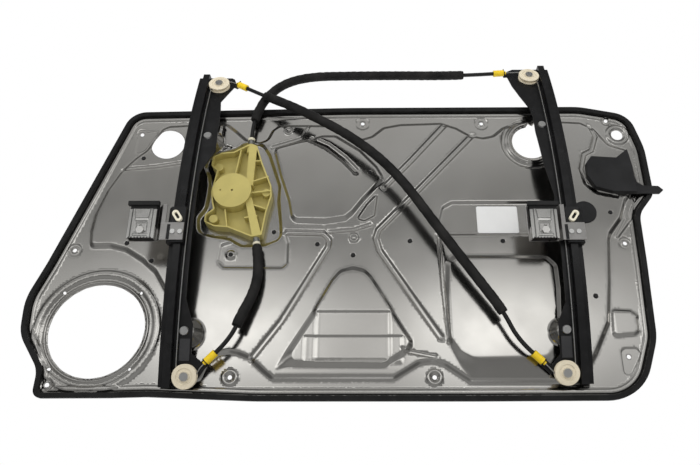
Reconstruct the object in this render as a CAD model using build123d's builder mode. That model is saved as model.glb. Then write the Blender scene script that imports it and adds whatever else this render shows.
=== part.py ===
from build123d import *
import os
from math import acos, asin, atan2, cos, degrees, hypot, pi, radians, sin, tan

# Twin-rail cable window regulator on its pressed steel door panel. Millimetres.
# X runs along the door, Z is up, and the glass side of the door faces -Y.
# The origin is on the cable drum's axis, at the rear face of the panel, where the motor bolts on.

# ---- driving dimensions ----
SHEET = 1.5  # panel steel
FIELD = 6.0  # height of the raised middle of the panel over its rim
PRESS_ANGLE = 42  # slope of the pressed walls, from square to the sheet
SEAL_WIDTH = 8.0
SEAL_HEIGHT = 5.5
SEAL_OVERHANG = 2.0

RAIL_R = 1030.0  # radius of the glass and so of the rails, measured at the rail web
ARC_Y, ARC_Z = 978.5, -46.0  # centre of that radius
RAIL_T = 1.5
HAT_HEIGHT = 9.0  # guide ridge over the rail web
REST = -2.0  # carriers' angle on the arc as drawn, degrees
FRONT_EDGE_X, REAR_EDGE_X = -87.0, 580.0  # outer edges of the rails
FRONT_SPAN, REAR_SPAN = (-16.2, 16.8), (-15.9, 18.4)  # rail ends on the arc, degrees
PULLEY_OFFSET = 42.0  # pulley centre from the rail's outer edge
PULLEY_R, GROOVE_R = 19.0, 14.0
PULLEY_LIFT, PULLEY_WIDTH = 0.6, 8.8
RIVET_R = 5.0
RUN_FIT = 0.05
CABLE_R = 0.9
CABLE_LIFT = 5.0  # cable centre over the web

DRUM_R, DRUM_GROOVE_R = 27.0, 24.0
DRUM_BACK, DRUM_FRONT = 4.5, 22.5
SOCKET_R = 8.0  # drive socket in the back of the drum
MOTOR_BORE_R = 36.0
MOTOR_PCD, MOTOR_HOLE_R = 116.0, 3.3

CONDUIT_R, SLEEVE_R = 3.5, 8.5
BOLT_HOLE_R = 3.5
PLUG_R = 3.2
SPEAKER_X, SPEAKER_Z, SPEAKER_R, SPEAKER_PCD = -200.0, -241.0, 77.0, 177.0

PANEL = Plane(origin=(0, 0, 0), x_dir=(1, 0, 0), z_dir=(0, -1, 0))
RAIL_AXIS = Axis((0, ARC_Y, ARC_Z), (-1, 0, 0))


def arc_plane(angle):
    """The plane through the rails' axis at an angle; its Y is the distance from that axis."""
    a = radians(angle)
    return Plane(origin=(0, ARC_Y, ARC_Z), x_dir=(1, 0, 0), z_dir=(0, -sin(a), -cos(a)))


def face_plane(x, angle, lift=0.0):
    """The plane that touches the rail arc: Y runs up the rail and Z points at the glass."""
    a = radians(angle)
    r = RAIL_R + lift
    return Plane(
        origin=(x, ARC_Y - r * cos(a), ARC_Z + r * sin(a)), x_dir=(1, 0, 0), z_dir=(0, -cos(a), sin(a))
    )


def angle_at(z, lift=0.0):
    """The arc angle of a height."""
    return degrees(asin((z - ARC_Z) / (RAIL_R + lift)))


def depth_at(z, lift=0.0):
    """How far in front of the panel's rear face the arc is, at a height."""
    return (RAIL_R + lift) * cos(radians(angle_at(z, lift))) - ARC_Y


# Rim of the panel and its seal: corner points, each with its radius.
RIM = [
    (-204, 174, 38), (200, 184, 900), (626, 186.5, 130), (716, 168, 42), (733, 96, 130), (733, 2, 32),
    (702, -36, 40), (699, -125, 700), (692, -255, 90), (655, -351.5, 78), (398, -353, 900), (60, -353, 900),
    (-105, -346.5, 120), (-160, -348, 120), (-279, -348.5, 14), (-279, -305, 40), (-319, -248, 60),
    (-323, -190, 90), (-300, -128, 160),
]
BOLT_HOLES = [
    (223.5, 152.5), (443, 152.5), (20, -316), (338, -316), (-261, -102), (670, -89), (645, -283.5),
    (-181, 128.5), (-261, -328), (674, 158),
]
PLUG_HOLES = [
    (-169, 75, 6), (237, 43, 11), (652, -33, 6), (605, -185, 6), (462, -87, 6), (305, -87, 6),
    (209, -113, 6), (148.5, -93, 6), (73, -68, 0), (4, -112, 6), (-173, -91, 6), (-127, -123, 6),
]  # x, z, height over the rim
ACCESS_HOLES = [(-128.5, 104, 30.0), (528, 108, 33.0), (690, 128, 10.5)]
MOTOR_HOLES = [
    (MOTOR_PCD / 2 * cos(radians(a)), MOTOR_PCD / 2 * sin(radians(a))) for a in (0, 120, 240)
]
SPEAKER_HOLES = [
    (SPEAKER_X + SPEAKER_PCD / 2 * cos(radians(a)), SPEAKER_Z + SPEAKER_PCD / 2 * sin(radians(a)))
    for a in (45, 135, 225, 315)
]
# Where the rails stand on the panel's drawn domes: x, z.
RAIL_FEET = [(-49, 101), (544, 127), (-51, -250), (543, -248)]
# The base of each dome: centre and radius. The rear upper one leans away from the hole beside it.
DOME_BASES, DOME_BASE_R = [(-53, 109), (554, 146), (-51, -250), (543, -248)], [27, 20, 31, 31]
DOME_TOP_R = 12.0

# Pressed forms of the panel: outlines with one corner radius each. Heights are over the rim.
RAISED_FIELD = [
    (-185, 150), (-155, 158), (-60, 160), (195, 160), (205, 130), (242, 130), (255, 162), (425, 163),
    (430, 130), (458, 130), (480, 164), (600, 164), (625, 110), (705, 96), (712, 20), (682, -30), (640, -60),
    (640, -130), (676, -150), (672, -230), (600, -262), (590, -325), (380, -328), (345, -290), (330, -290),
    (290, -328), (60, -328), (30, -285), (8, -285), (-22, -325), (-75, -322), (-92, -180), (-140, -130),
    (-232, -128), (-252, -80), (-246, -30),
]
DRUM_POCKET = [(-74, 74), (-20, 112), (70, 112), (100, 40), (92, -86), (20, -100), (-60, -86)]
UPPER_FIELD = [(98, 118), (160, 128), (225, 70), (300, 20), (262, -40), (132, -44), (104, 70)]
CENTRE_FIELD = [(178, -138), (238, -138), (330, -262), (305, -296), (115, -300), (98, -270), (150, -200)]
RIGHT_FIELD = [(362, -112), (378, -104), (530, -106), (536, -270), (515, -292), (395, -292), (362, -250)]
LABEL_FIELD = [(352, -22), (366, 8), (520, 8), (520, -78), (352, -78)]
LEFT_LEG = [(150, -92), (176, -108), (72, -300), (30, -282)]
RIGHT_LEG = [(226, -92), (262, -92), (360, -270), (330, -292), (240, -118)]
UPPER_RIB = [(360, 143), (374, 132), (218, -28), (204, -16)]
LOWER_RIB = [(425, 128), (438, 116), (286, -40), (272, -30)]

# Conduit routes, from the drum or the front upper ferrule to the ferrule at the other end.
UPPER_ROUTE = [
    (23.5, -14, 97), (23.3, -15, 127), (28, -17.2, 158), (43, -18, 198), (75, -17, 232), (124, -15.5, 249),
    (200, -15, 251.5), (293, -14.5, 252.5), (362, -13.5, 252.8), (432.4, -11.4, 256.3), (472.2, -10.2, 260.3),
]
CROSS_ROUTE = [
    (8.0, -22.6, 216.8), (40, -28.1, 196.8), (88, -44, 166), (142, -48, 134), (198, -50, 98), (252, -50, 53),
    (296, -50, 1), (336, -49, -61), (374, -47, -118), (411, -44, -172), (446, -40, -222),
    (465.7, -34.3, -265.2), (488.0, -29.1, -284.6),
]
LOWER_ROUTE = [
    (45.7, -14.2, -85.5), (49.5, -17.6, -106), (54, -21, -133), (55.5, -24, -162), (49, -27.5, -193),
    (36.5, -31, -222), (22.4, -34.9, -264), (0.8, -29.4, -284.1),
]
ROUTES = {"upper": UPPER_ROUTE, "cross": CROSS_ROUTE, "lower": LOWER_ROUTE}
# Foam sleeves, as shares of the conduit's length.
SLEEVED = {"upper": (0.095, 0.893), "cross": (0.062, 0.893), "lower": (0.075, 0.762)}
CONDUIT_SLACK = 0.1  # between a conduit and the foam round it


def arcs_of(points, radius):
    """A closed outline of straight runs with rounded corners, on the current plane."""
    FilletPolyline(*points, radius=radius, close=True)


# ---- carrier panel ----
def dome(foot, base, base_r):
    """The form of one drawn dome, from its base on the panel to the back of the rail that stands on it."""
    x, z = foot
    top = depth_at(z)
    reach = (top + 8) / top
    end = [b + (f - b) * reach for f, b in zip(foot, base)]
    with BuildPart() as form:
        with BuildSketch(PANEL):
            with Locations(base):
                Circle(base_r)
        with BuildSketch(PANEL.offset(top * reach)):
            with Locations(tuple(end)):
                Circle(base_r + (DOME_TOP_R - base_r) * reach)
        loft()
        with BuildSketch(Plane(origin=(x - 80, ARC_Y, ARC_Z), z_dir=(1, 0, 0))):
            Circle(RAIL_R - RAIL_T)
        extrude(amount=160, mode=Mode.INTERSECT)
    return form.part


DOMES = [dome(foot, base, base_r) for foot, base, base_r in zip(RAIL_FEET, DOME_BASES, DOME_BASE_R)]

# The pressed form: a block whose front has the panel's shape. The panel is its skin.
with BuildPart() as press_form:
    with BuildSketch(PANEL.offset(SHEET - 20)):
        with Locations((206, -84)):
            Rectangle(1120, 600)
    extrude(amount=20)
    with BuildSketch(PANEL.offset(SHEET)):
        with BuildLine():
            arcs_of(RAISED_FIELD, 12)
        make_face()
    extrude(amount=FIELD, taper=PRESS_ANGLE)
    for outline in (UPPER_FIELD, CENTRE_FIELD, RIGHT_FIELD):
        with BuildSketch(PANEL.offset(SHEET + FIELD)):
            with BuildLine():
                arcs_of(outline, 16)
            make_face()
        extrude(amount=5, taper=PRESS_ANGLE)
    with BuildSketch(PANEL.offset(SHEET + FIELD)):
        with BuildLine():
            arcs_of(LABEL_FIELD, 12)
        make_face()
    extrude(amount=-3.5, taper=PRESS_ANGLE, mode=Mode.SUBTRACT)
    for outline in (LEFT_LEG, RIGHT_LEG, UPPER_RIB, LOWER_RIB):
        with BuildSketch(PANEL.offset(SHEET + FIELD)):
            with BuildLine():
                arcs_of(outline, 6)
            make_face()
        extrude(amount=-3, taper=PRESS_ANGLE, mode=Mode.SUBTRACT)
    with BuildSketch(PANEL.offset(SHEET + FIELD)):
        with BuildLine():
            arcs_of(DRUM_POCKET, 20)
        make_face()
    extrude(amount=-FIELD, taper=PRESS_ANGLE, mode=Mode.SUBTRACT)
    for form in DOMES:
        add(form)

with BuildPart() as carrier_panel:
    add(press_form.part)
    add(press_form.part.moved(Location((0, SHEET, 0))), mode=Mode.SUBTRACT)
    with BuildSketch(PANEL.offset(-5)):
        with BuildLine():
            FilletPolyline(*[p[:2] for p in RIM], radius=[p[2] for p in RIM], close=True)
        make_face()
        offset(amount=-SEAL_OVERHANG)
    extrude(amount=90, mode=Mode.INTERSECT)
    with BuildSketch(PANEL.offset(-5)):
        with Locations(*BOLT_HOLES):
            Circle(BOLT_HOLE_R)
        with Locations(*[hole[:2] for hole in PLUG_HOLES]):
            Circle(PLUG_R)
        with Locations(*MOTOR_HOLES):
            Circle(MOTOR_HOLE_R)
        with Locations(*SPEAKER_HOLES):
            Circle(2.4)
        for x, z, r in ACCESS_HOLES:
            with Locations((x, z)):
                Circle(r)
        Circle(MOTOR_BORE_R)
        with Locations((SPEAKER_X, SPEAKER_Z)):
            Circle(SPEAKER_R)
    extrude(amount=SHEET + FIELD + 10, mode=Mode.SUBTRACT)
    for x, z in RAIL_FEET:
        with BuildSketch(face_plane(x, angle_at(z)).offset(-8)):
            Circle(RIVET_R)
        extrude(amount=10, mode=Mode.SUBTRACT)




# ---- perimeter seal ----
with BuildPart() as perimeter_seal:
    with BuildSketch(PANEL.offset(SHEET)):
        with BuildLine():
            FilletPolyline(*[p[:2] for p in RIM], radius=[p[2] for p in RIM], close=True)
        make_face()
        offset(amount=-SEAL_WIDTH, mode=Mode.SUBTRACT)
    extrude(amount=SEAL_HEIGHT)

# ---- guide rails ----
# The section across a rail, from its outer edge: edge flange, guide ridge, cable flange. Y is off the web.
RIDGE = [(8, 0), (9.2, HAT_HEIGHT), (20.8, HAT_HEIGHT), (22, 0)]
RIDGE_BACK = [(20.3, -RAIL_T), (19.1, HAT_HEIGHT - RAIL_T), (10.9, HAT_HEIGHT - RAIL_T), (9.7, -RAIL_T)]
PLATE_REACH = 82.0  # widest part of the rail, before it is trimmed to its outline
FRONT_OUTLINE = [
    (-87, -400), (-60, -337), (-36, -335), (-16, -306), (-24, -294), (-38, -284), (-38, -240), (-52, -200),
    (-52, 22), (-31, 66), (-34, 160), (-37, 184), (-14, 232), (-20, 248), (-46, 266), (-87, 300),
]
REAR_OUTLINE = [
    (580, -400), (540, -336), (514, -309), (519, -298), (531, -284), (531, -236), (545, -205), (545, -20),
    (535, 40), (530, 112), (531, 146), (527, 168), (515, 197), (504, 228), (498, 258), (500, 272),
    (530, 290), (580, 320),
]


def rail_blank(edge_x, side, span):
    """A rail's whole section turned along its arc, before trimming. side is 1 if it widens towards +X."""
    section = [(0, 0), *RIDGE, (PLATE_REACH, 0), (PLATE_REACH, -RAIL_T), *RIDGE_BACK, (0, -RAIL_T)]
    with BuildPart() as blank:
        with BuildSketch(arc_plane(span[0])):
            with BuildLine():
                Polyline(*[(edge_x + side * a, RAIL_R + b) for a, b in section], close=True)
            make_face()
        revolve(axis=RAIL_AXIS, revolution_arc=span[1] - span[0])
    return blank.part


def pulley_place(edge_x, side, angle):
    return face_plane(edge_x + side * PULLEY_OFFSET, angle)


FRONT_TOP, FRONT_BOTTOM = angle_at(225.5), angle_at(-317.5)
REAR_TOP, REAR_BOTTOM = angle_at(250.0), angle_at(-312.0)
PULLEYS = {
    "front_upper_pulley": (FRONT_EDGE_X, 1, FRONT_TOP),
    "front_lower_pulley": (FRONT_EDGE_X, 1, FRONT_BOTTOM),
    "rear_upper_pulley": (REAR_EDGE_X, -1, REAR_TOP),
    "rear_lower_pulley": (REAR_EDGE_X, -1, REAR_BOTTOM),
}

# ---- cable ends: how a cable leaves its pulley and enters its ferrule ----
NOSE, SHOULDER, BEND_LEG = 7.0, 12.0, 6.0  # distances past the bend
NOSE_R, LUG_WIDTH = 3.2, 12.0
FERRULE_LENGTH = 19.0
FERRULE_R = 6.0
# For each pulley: side of the rail that faces +X, 1 if upper, where the cable bends, its angle after.
CABLE_ENDS = {
    "front_upper_pulley": (1, 1, (27.0, 6.5), -33.0),
    "rear_upper_pulley": (-1, 1, (35.0, 12.5), -6.0),
    "front_lower_pulley": (1, -1, (23.5, -14.5), -44.0),
    "rear_lower_pulley": (-1, -1, (27.0, -9.0), -42.0),
}


class CableEnd:
    """The run of cable from a pulley to its ferrule, in the pulley's own plane."""

    def __init__(self, name):
        self.angle = PULLEYS[name][2]
        self.place = pulley_place(*PULLEYS[name]).offset(CABLE_LIFT)
        self.side, self.up, bend, slope = CABLE_ENDS[name]
        self.bend = Vector(*bend)
        self.after = Vector(cos(radians(slope)), sin(radians(slope)))
        reach = hypot(*bend)
        turn = atan2(bend[1], bend[0]) + acos(GROOVE_R / reach)
        self.touch = Vector(GROOVE_R * cos(turn), GROOVE_R * sin(turn))
        self.top = Vector(GROOVE_R * cos((turn + pi) / 2), GROOVE_R * sin((turn + pi) / 2))
        self.before = (self.bend - self.touch).normalized()

    def at(self, point):
        return self.place.from_local_coords(Vector(point.X * self.side, point.Y * self.up, 0))

    def along(self, distance):
        """A point on the ferrule's axis, that far past the bend."""
        return self.at(self.bend + self.after * distance)

    def heading(self):
        return (self.along(1) - self.along(0)).normalized()


ENDS = {name: CableEnd(name) for name in CABLE_ENDS}


def ferrule_lug(end):
    """The arm of a rail that reaches out to a ferrule and folds up round its nose."""
    up = end.place.z_dir
    with BuildPart() as lug:
        with BuildSketch(Plane(origin=end.along(-12) - up * CABLE_LIFT, x_dir=end.heading(), z_dir=up)):
            with Locations(((SHOULDER + 12) / 2, 0)):
                Rectangle(SHOULDER + 12, LUG_WIDTH)
        extrude(amount=-RAIL_T)
        with BuildSketch(Plane(origin=end.along(SHOULDER - RAIL_T), x_dir=up, z_dir=end.heading())):
            with Locations((-RAIL_T / 2, 0)):
                Rectangle(2 * CABLE_LIFT + RAIL_T, LUG_WIDTH)
            Circle(NOSE_R, mode=Mode.SUBTRACT)
        extrude(amount=RAIL_T)
    return lug.part


FRONT_BLANK = rail_blank(FRONT_EDGE_X, 1, FRONT_SPAN)
REAR_BLANK = rail_blank(REAR_EDGE_X, -1, REAR_SPAN)


with BuildPart() as front_rail:
    add(FRONT_BLANK)
    with BuildSketch(PANEL):
        with BuildLine():
            Polyline(*FRONT_OUTLINE, close=True)
        make_face()
    extrude(amount=120, both=True, mode=Mode.INTERSECT)
    add(ferrule_lug(ENDS["front_upper_pulley"]))
    add(ferrule_lug(ENDS["front_lower_pulley"]))
    for place in (
        face_plane(RAIL_FEET[0][0], angle_at(RAIL_FEET[0][1])),
        face_plane(RAIL_FEET[2][0], angle_at(RAIL_FEET[2][1])),
        pulley_place(*PULLEYS["front_upper_pulley"]),
        pulley_place(*PULLEYS["front_lower_pulley"]),
    ):
        with BuildSketch(place.offset(-5)):
            Circle(RIVET_R)
        extrude(amount=10, mode=Mode.SUBTRACT)

with BuildPart() as rear_rail:
    add(REAR_BLANK)
    with BuildSketch(PANEL):
        with BuildLine():
            Polyline(*REAR_OUTLINE, close=True)
        make_face()
    extrude(amount=120, both=True, mode=Mode.INTERSECT)
    add(ferrule_lug(ENDS["rear_upper_pulley"]))
    add(ferrule_lug(ENDS["rear_lower_pulley"]))
    for place in (
        face_plane(RAIL_FEET[1][0], angle_at(RAIL_FEET[1][1])),
        face_plane(RAIL_FEET[3][0], angle_at(RAIL_FEET[3][1])),
        pulley_place(*PULLEYS["rear_upper_pulley"]),
        pulley_place(*PULLEYS["rear_lower_pulley"]),
    ):
        with BuildSketch(place.offset(-5)):
            Circle(RIVET_R)
        extrude(amount=10, mode=Mode.SUBTRACT)

# ---- lower end plates: the moulded guides that back the lower pulleys ----


def lower_guide(edge_x, side, z_top, z_bottom):
    """A thin plastic shoe on the cable flange between the lower pulley and the rail's foot."""
    x0, x1 = edge_x + side * 31, edge_x + side * 47
    with BuildPart() as guide:
        with BuildSketch(arc_plane(angle_at(z_bottom))):
            with Locations(((x0 + x1) / 2, RAIL_R + 1.2)):
                Rectangle(abs(x1 - x0), 2.4)
        revolve(axis=RAIL_AXIS, revolution_arc=angle_at(z_top) - angle_at(z_bottom))
    return guide.part


front_lower_guide = lower_guide(FRONT_EDGE_X, 1, -262, -295)
rear_lower_guide = lower_guide(REAR_EDGE_X, -1, -258, -290)

# ---- rail rivets ----
with BuildPart() as rail_rivets:
    for x, z in RAIL_FEET:
        seat = face_plane(x, angle_at(z))
        with BuildSketch(seat.offset(-5)):
            Circle(RIVET_R)
        extrude(amount=5)
        with BuildSketch(seat):
            Circle(7.5)
        extrude(amount=2.2, taper=25)

# ---- pulleys and their rivets ----


def pulley(place):
    """A moulded cable pulley: two flanges, a V groove, a hub face with a shallow ring recess."""
    low, high = PULLEY_LIFT, PULLEY_LIFT + PULLEY_WIDTH
    root = GROOVE_R - CABLE_R - 0.35
    side = Plane(origin=place.origin, x_dir=place.x_dir, z_dir=-place.y_dir)
    bore = RIVET_R + RUN_FIT
    profile = [
        (bore, low), (PULLEY_R, low), (PULLEY_R, low + 1.6), (root, CABLE_LIFT - 1.1),
        (root, CABLE_LIFT + 1.1), (PULLEY_R, high - 1.6), (PULLEY_R, high - 0.5), (PULLEY_R - 0.5, high),
        (13.0, high), (12.4, high - 1.0), (9.2, high - 1.0), (8.6, high), (bore, high),
    ]
    with BuildPart() as wheel:
        with BuildSketch(side):
            with BuildLine():
                Polyline(*profile, close=True)
            make_face()
        revolve(axis=Axis(place.origin, place.z_dir))
    return wheel.part


def pulley_rivet(place):
    """The shouldered rivet a pulley turns on, headed over the pulley and behind the rail."""
    top = PULLEY_LIFT + PULLEY_WIDTH + 0.4
    with BuildPart() as pin:
        with BuildSketch(place.offset(-RAIL_T)):
            Circle(RIVET_R)
        extrude(amount=RAIL_T + top)
        with BuildSketch(place.offset(top)):
            Circle(7.2)
        extrude(amount=1.8, taper=20)
        with BuildSketch(place.offset(-RAIL_T - 1.5)):
            Circle(7.2)
        extrude(amount=1.5)
    return pin.part


# ---- cable drum and its housing ----
HOUSING_OUTLINE = [
    (30, 95), (18, 94), (-5, 80), (-26, 78), (-41, 70), (-42, 52), (-31, 42), (-34, 20), (-37, 0),
    (-34, -20), (-30, -33), (-43, -44), (-43, -58), (-26, -66), (-2, -68), (38, -85), (56, -82),
    (61, -40), (68, -8), (66, 12), (48, 56), (36, 92),
]
HOUSING_FLOOR, HOUSING_WALL, HOUSING_DISC = 4.0, 20.0, 26.0  # heights over the panel's front
CHANNEL = [(22, 12), (34, 12), (36, 92), (22, 95)]
CHANNEL_LOW = [(22, -12), (34, -12), (55, -80), (40, -84)]
RIBS = [((33, 20), (60, 30)), ((33, -2), (66, 2)), ((33, -24), (62, -34)), ((2, 34), (8, 84)),
        ((-10, -34), (-4, -66)), ((24, -50), (46, -46)), ((24, 60), (44, 62))]
RIB_T = 2.2
EXIT_BOSS = 17.0  # bosses that take the conduits, from inside the wall to where a conduit starts

with BuildPart() as drum_housing:
    with BuildSketch(PANEL.offset(SHEET)):
        with BuildLine():
            FilletPolyline(*HOUSING_OUTLINE, radius=4, close=True)
        make_face()
    extrude(amount=HOUSING_WALL)
    with BuildSketch(PANEL.offset(SHEET + HOUSING_FLOOR)):
        with BuildLine():
            FilletPolyline(*HOUSING_OUTLINE, radius=4, close=True)
        make_face()
        offset(amount=-2.4)
    extrude(amount=HOUSING_WALL, mode=Mode.SUBTRACT)
    with BuildSketch(PANEL.offset(SHEET)):
        Circle(33)
    extrude(amount=HOUSING_DISC)
    with BuildSketch(PANEL.offset(SHEET)):
        for block in (CHANNEL, CHANNEL_LOW):
            with BuildLine():
                Polyline(*block, close=True)
            make_face()
    extrude(amount=HOUSING_WALL)
    with BuildSketch(PANEL.offset(SHEET)):
        for start, end in RIBS:
            with BuildLine():
                rib = Line(start, end)
            trace(rib, line_width=RIB_T)
    extrude(amount=HOUSING_WALL)
    with BuildSketch(PANEL.offset(SHEET)):
        with Locations(*MOTOR_HOLES):
            Circle(7.5)
    extrude(amount=HOUSING_WALL - 4)
    for route in (UPPER_ROUTE, LOWER_ROUTE):
        with BuildSketch(Plane(origin=route[0], z_dir=Vector(*route[1]) - Vector(*route[0]))):
            Circle(7)
        extrude(amount=-EXIT_BOSS)
    with BuildSketch(PANEL.offset(0)):
        Circle(DRUM_R + 1.5)
    extrude(amount=DRUM_FRONT + 1.5, mode=Mode.SUBTRACT)
    with BuildSketch(PANEL.offset(SHEET)):
        with Locations(*MOTOR_HOLES):
            Circle(2.6)
    extrude(amount=HOUSING_WALL - 7, mode=Mode.SUBTRACT)
    with BuildSketch(PANEL.offset(DRUM_BACK + 9)):
        Circle(RIVET_R)
    extrude(amount=DRUM_FRONT - DRUM_BACK - 9 + 1.5)
    with BuildSketch(PANEL.offset(DRUM_BACK)):
        Circle(2.0)
        with Locations((-20, 0)):
            Circle(1.4)
    extrude(amount=40, mode=Mode.SUBTRACT)

with BuildPart() as cable_drum:
    with BuildSketch(Plane.XY):
        with BuildLine():
            grooves = [(DRUM_R, DRUM_BACK), (DRUM_R, DRUM_BACK + 2)]
            for i in range(5):
                z = DRUM_BACK + 2 + 2.8 * i
                grooves += [(DRUM_GROOVE_R, z + 1.1), (DRUM_GROOVE_R, z + 1.7), (DRUM_R, z + 2.8)]
            back = [(SOCKET_R, DRUM_BACK), (SOCKET_R, DRUM_BACK + 8.5), (RIVET_R + RUN_FIT, DRUM_BACK + 8.5)]
            front = [(DRUM_R, DRUM_FRONT), (RIVET_R + RUN_FIT, DRUM_FRONT)]
            Polyline(*[(r, -z) for r, z in [*grooves, *front, *reversed(back)]], close=True)
        make_face()
    revolve(axis=Axis.Y)

# ---- conduits ----


def tube_path(points):
    """Runs joined by arcs as large as the runs beside them allow."""
    radii = []
    for a, b, c in zip(points, points[1:], points[2:]):
        before, after = Vector(*b) - Vector(*a), Vector(*c) - Vector(*b)
        half = radians(before.get_angle(after)) / 2
        radii.append(0.45 * min(before.length, after.length) / tan(half))
    print("radii", [round(r) for r in radii])
    return FilletPolyline(*points, radius=radii, mode=Mode.PRIVATE)


def conduit(points):
    """A conduit over its whole length. The cable inside it isn't seen and isn't modelled."""
    line = tube_path(points)
    with BuildPart() as hose:
        with BuildSketch(Plane(origin=line @ 0, z_dir=line % 0)):
            Circle(CONDUIT_R)
        sweep(path=line)
    print("volume over section x length", round(hose.part.volume / (pi * CONDUIT_R**2 * line.length), 4))
    return hose.part
def ferrule(end):
    """The yellow end cap of a conduit, with the nose that guides the bare cable out."""
    with BuildPart() as cap:
        with BuildSketch(Plane(origin=end.along(NOSE), z_dir=end.heading())):
            Circle(NOSE_R)
            Circle(1.4, mode=Mode.SUBTRACT)
        extrude(amount=5)
        with BuildSketch(Plane(origin=end.along(SHOULDER), z_dir=end.heading())):
            Circle(FERRULE_R)
            Circle(1.4, mode=Mode.SUBTRACT)
        extrude(amount=FERRULE_LENGTH)
    return cap.part


def rail_cable(upper, lower, edge_x, side):
    """The bare cable of one rail: out of the ferrule, round both pulleys and down the rail between."""
    x = edge_x + side * (PULLEY_OFFSET - GROOVE_R)
    middle = face_plane(x, (upper.angle + lower.angle) / 2, CABLE_LIFT).origin
    with BuildPart() as strand:
        with BuildLine() as route:
            for end in (upper, lower):
                Line(end.along(BEND_LEG + 6), end.along(BEND_LEG))
                near = end.at(end.bend - end.before * BEND_LEG)
                direction = end.at(end.bend) - end.at(end.touch)
                TangentArc(near, end.along(BEND_LEG), tangent=direction)
                Line(near, end.at(end.touch))
                ThreePointArc(end.at(end.touch), end.at(end.top), end.at(Vector(-GROOVE_R, 0)))
            ThreePointArc(upper.at(Vector(-GROOVE_R, 0)), middle, lower.at(Vector(-GROOVE_R, 0)))
        with BuildSketch(Plane(origin=upper.along(BEND_LEG + 6), z_dir=upper.heading() * -1)):
            Circle(CABLE_R)
        sweep(path=route.wire())
    print("cable", round(strand.part.volume / (pi * CABLE_R**2 * route.wire().length), 4))
    return strand.part


front_cable = rail_cable(ENDS["front_upper_pulley"], ENDS["front_lower_pulley"], FRONT_EDGE_X, 1)
rear_cable = rail_cable(ENDS["rear_upper_pulley"], ENDS["rear_lower_pulley"], REAR_EDGE_X, -1)



def sleeve(points, share):
    """The foam sleeve round the middle of a conduit."""
    line = tube_path(points).trim(*share)
    with BuildPart() as foam:
        with BuildSketch(Plane(origin=line @ 0, z_dir=line % 0)):
            Circle(SLEEVE_R)
            Circle(CONDUIT_R + CONDUIT_SLACK, mode=Mode.SUBTRACT)
        sweep(path=line)
    return foam.part


def drum_exit(points):
    """The spring sleeve and the collar round the first stretch of a conduit at the drum housing."""
    start, heading = Vector(*points[0]), (Vector(*points[1]) - Vector(*points[0])).normalized()
    with BuildPart() as spring:
        with BuildSketch(Plane(origin=start, z_dir=heading)):
            Circle(5.8)
            Circle(CONDUIT_R + CONDUIT_SLACK, mode=Mode.SUBTRACT)
        extrude(amount=EXIT_LENGTH * 0.7)
    with BuildPart() as collar:
        with BuildSketch(Plane(origin=start + heading * (EXIT_LENGTH * 0.7), z_dir=heading)):
            Circle(6.3)
            Circle(CONDUIT_R + CONDUIT_SLACK, mode=Mode.SUBTRACT)
        extrude(amount=EXIT_LENGTH * 0.3)
    return spring.part, collar.part


EXIT_LENGTH = 14.0
upper_exit_spring, upper_exit_collar = drum_exit(UPPER_ROUTE)
lower_exit_spring, lower_exit_collar = drum_exit(LOWER_ROUTE)

# ---- carriers: what slides on the rails and holds the glass ----
SHOE_HALF_ANGLE = 1.7
SHOE = [
    (-3, -4.2), (6, -4.2), (6, -1.9), (-0.4, -1.9), (-0.4, 0.4), (7.5, 0.4), (8.8, 9.4), (21.2, 9.4),
    (22.6, 0.4), (25.2, 0.4), (25.2, 14), (3, 14), (-3, 8),
]
JAW_BACK, JAW_T, PAD_T, GLASS_GAP = 7.0, 2.0, 3.0, 6.0
SHOE_FRONT = 14.0
FRONT_CLAMP_X, REAR_CLAMP_X = (-152.0, -104.0), (493.0, 541.0)
CLAMP_LOW, CLAMP_HIGH = -28.0, 34.0  # along the rail, from the carrier's middle
PAD_LOW = -4.0
BOLT_Y = -15.0
RIVET_Y, RIVET_DEPTH, CARRIER_RIVET_R = -14.0, 3.6, 2.5
CLIP_TILT = {"front": 34.0, "rear": -34.0}


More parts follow.
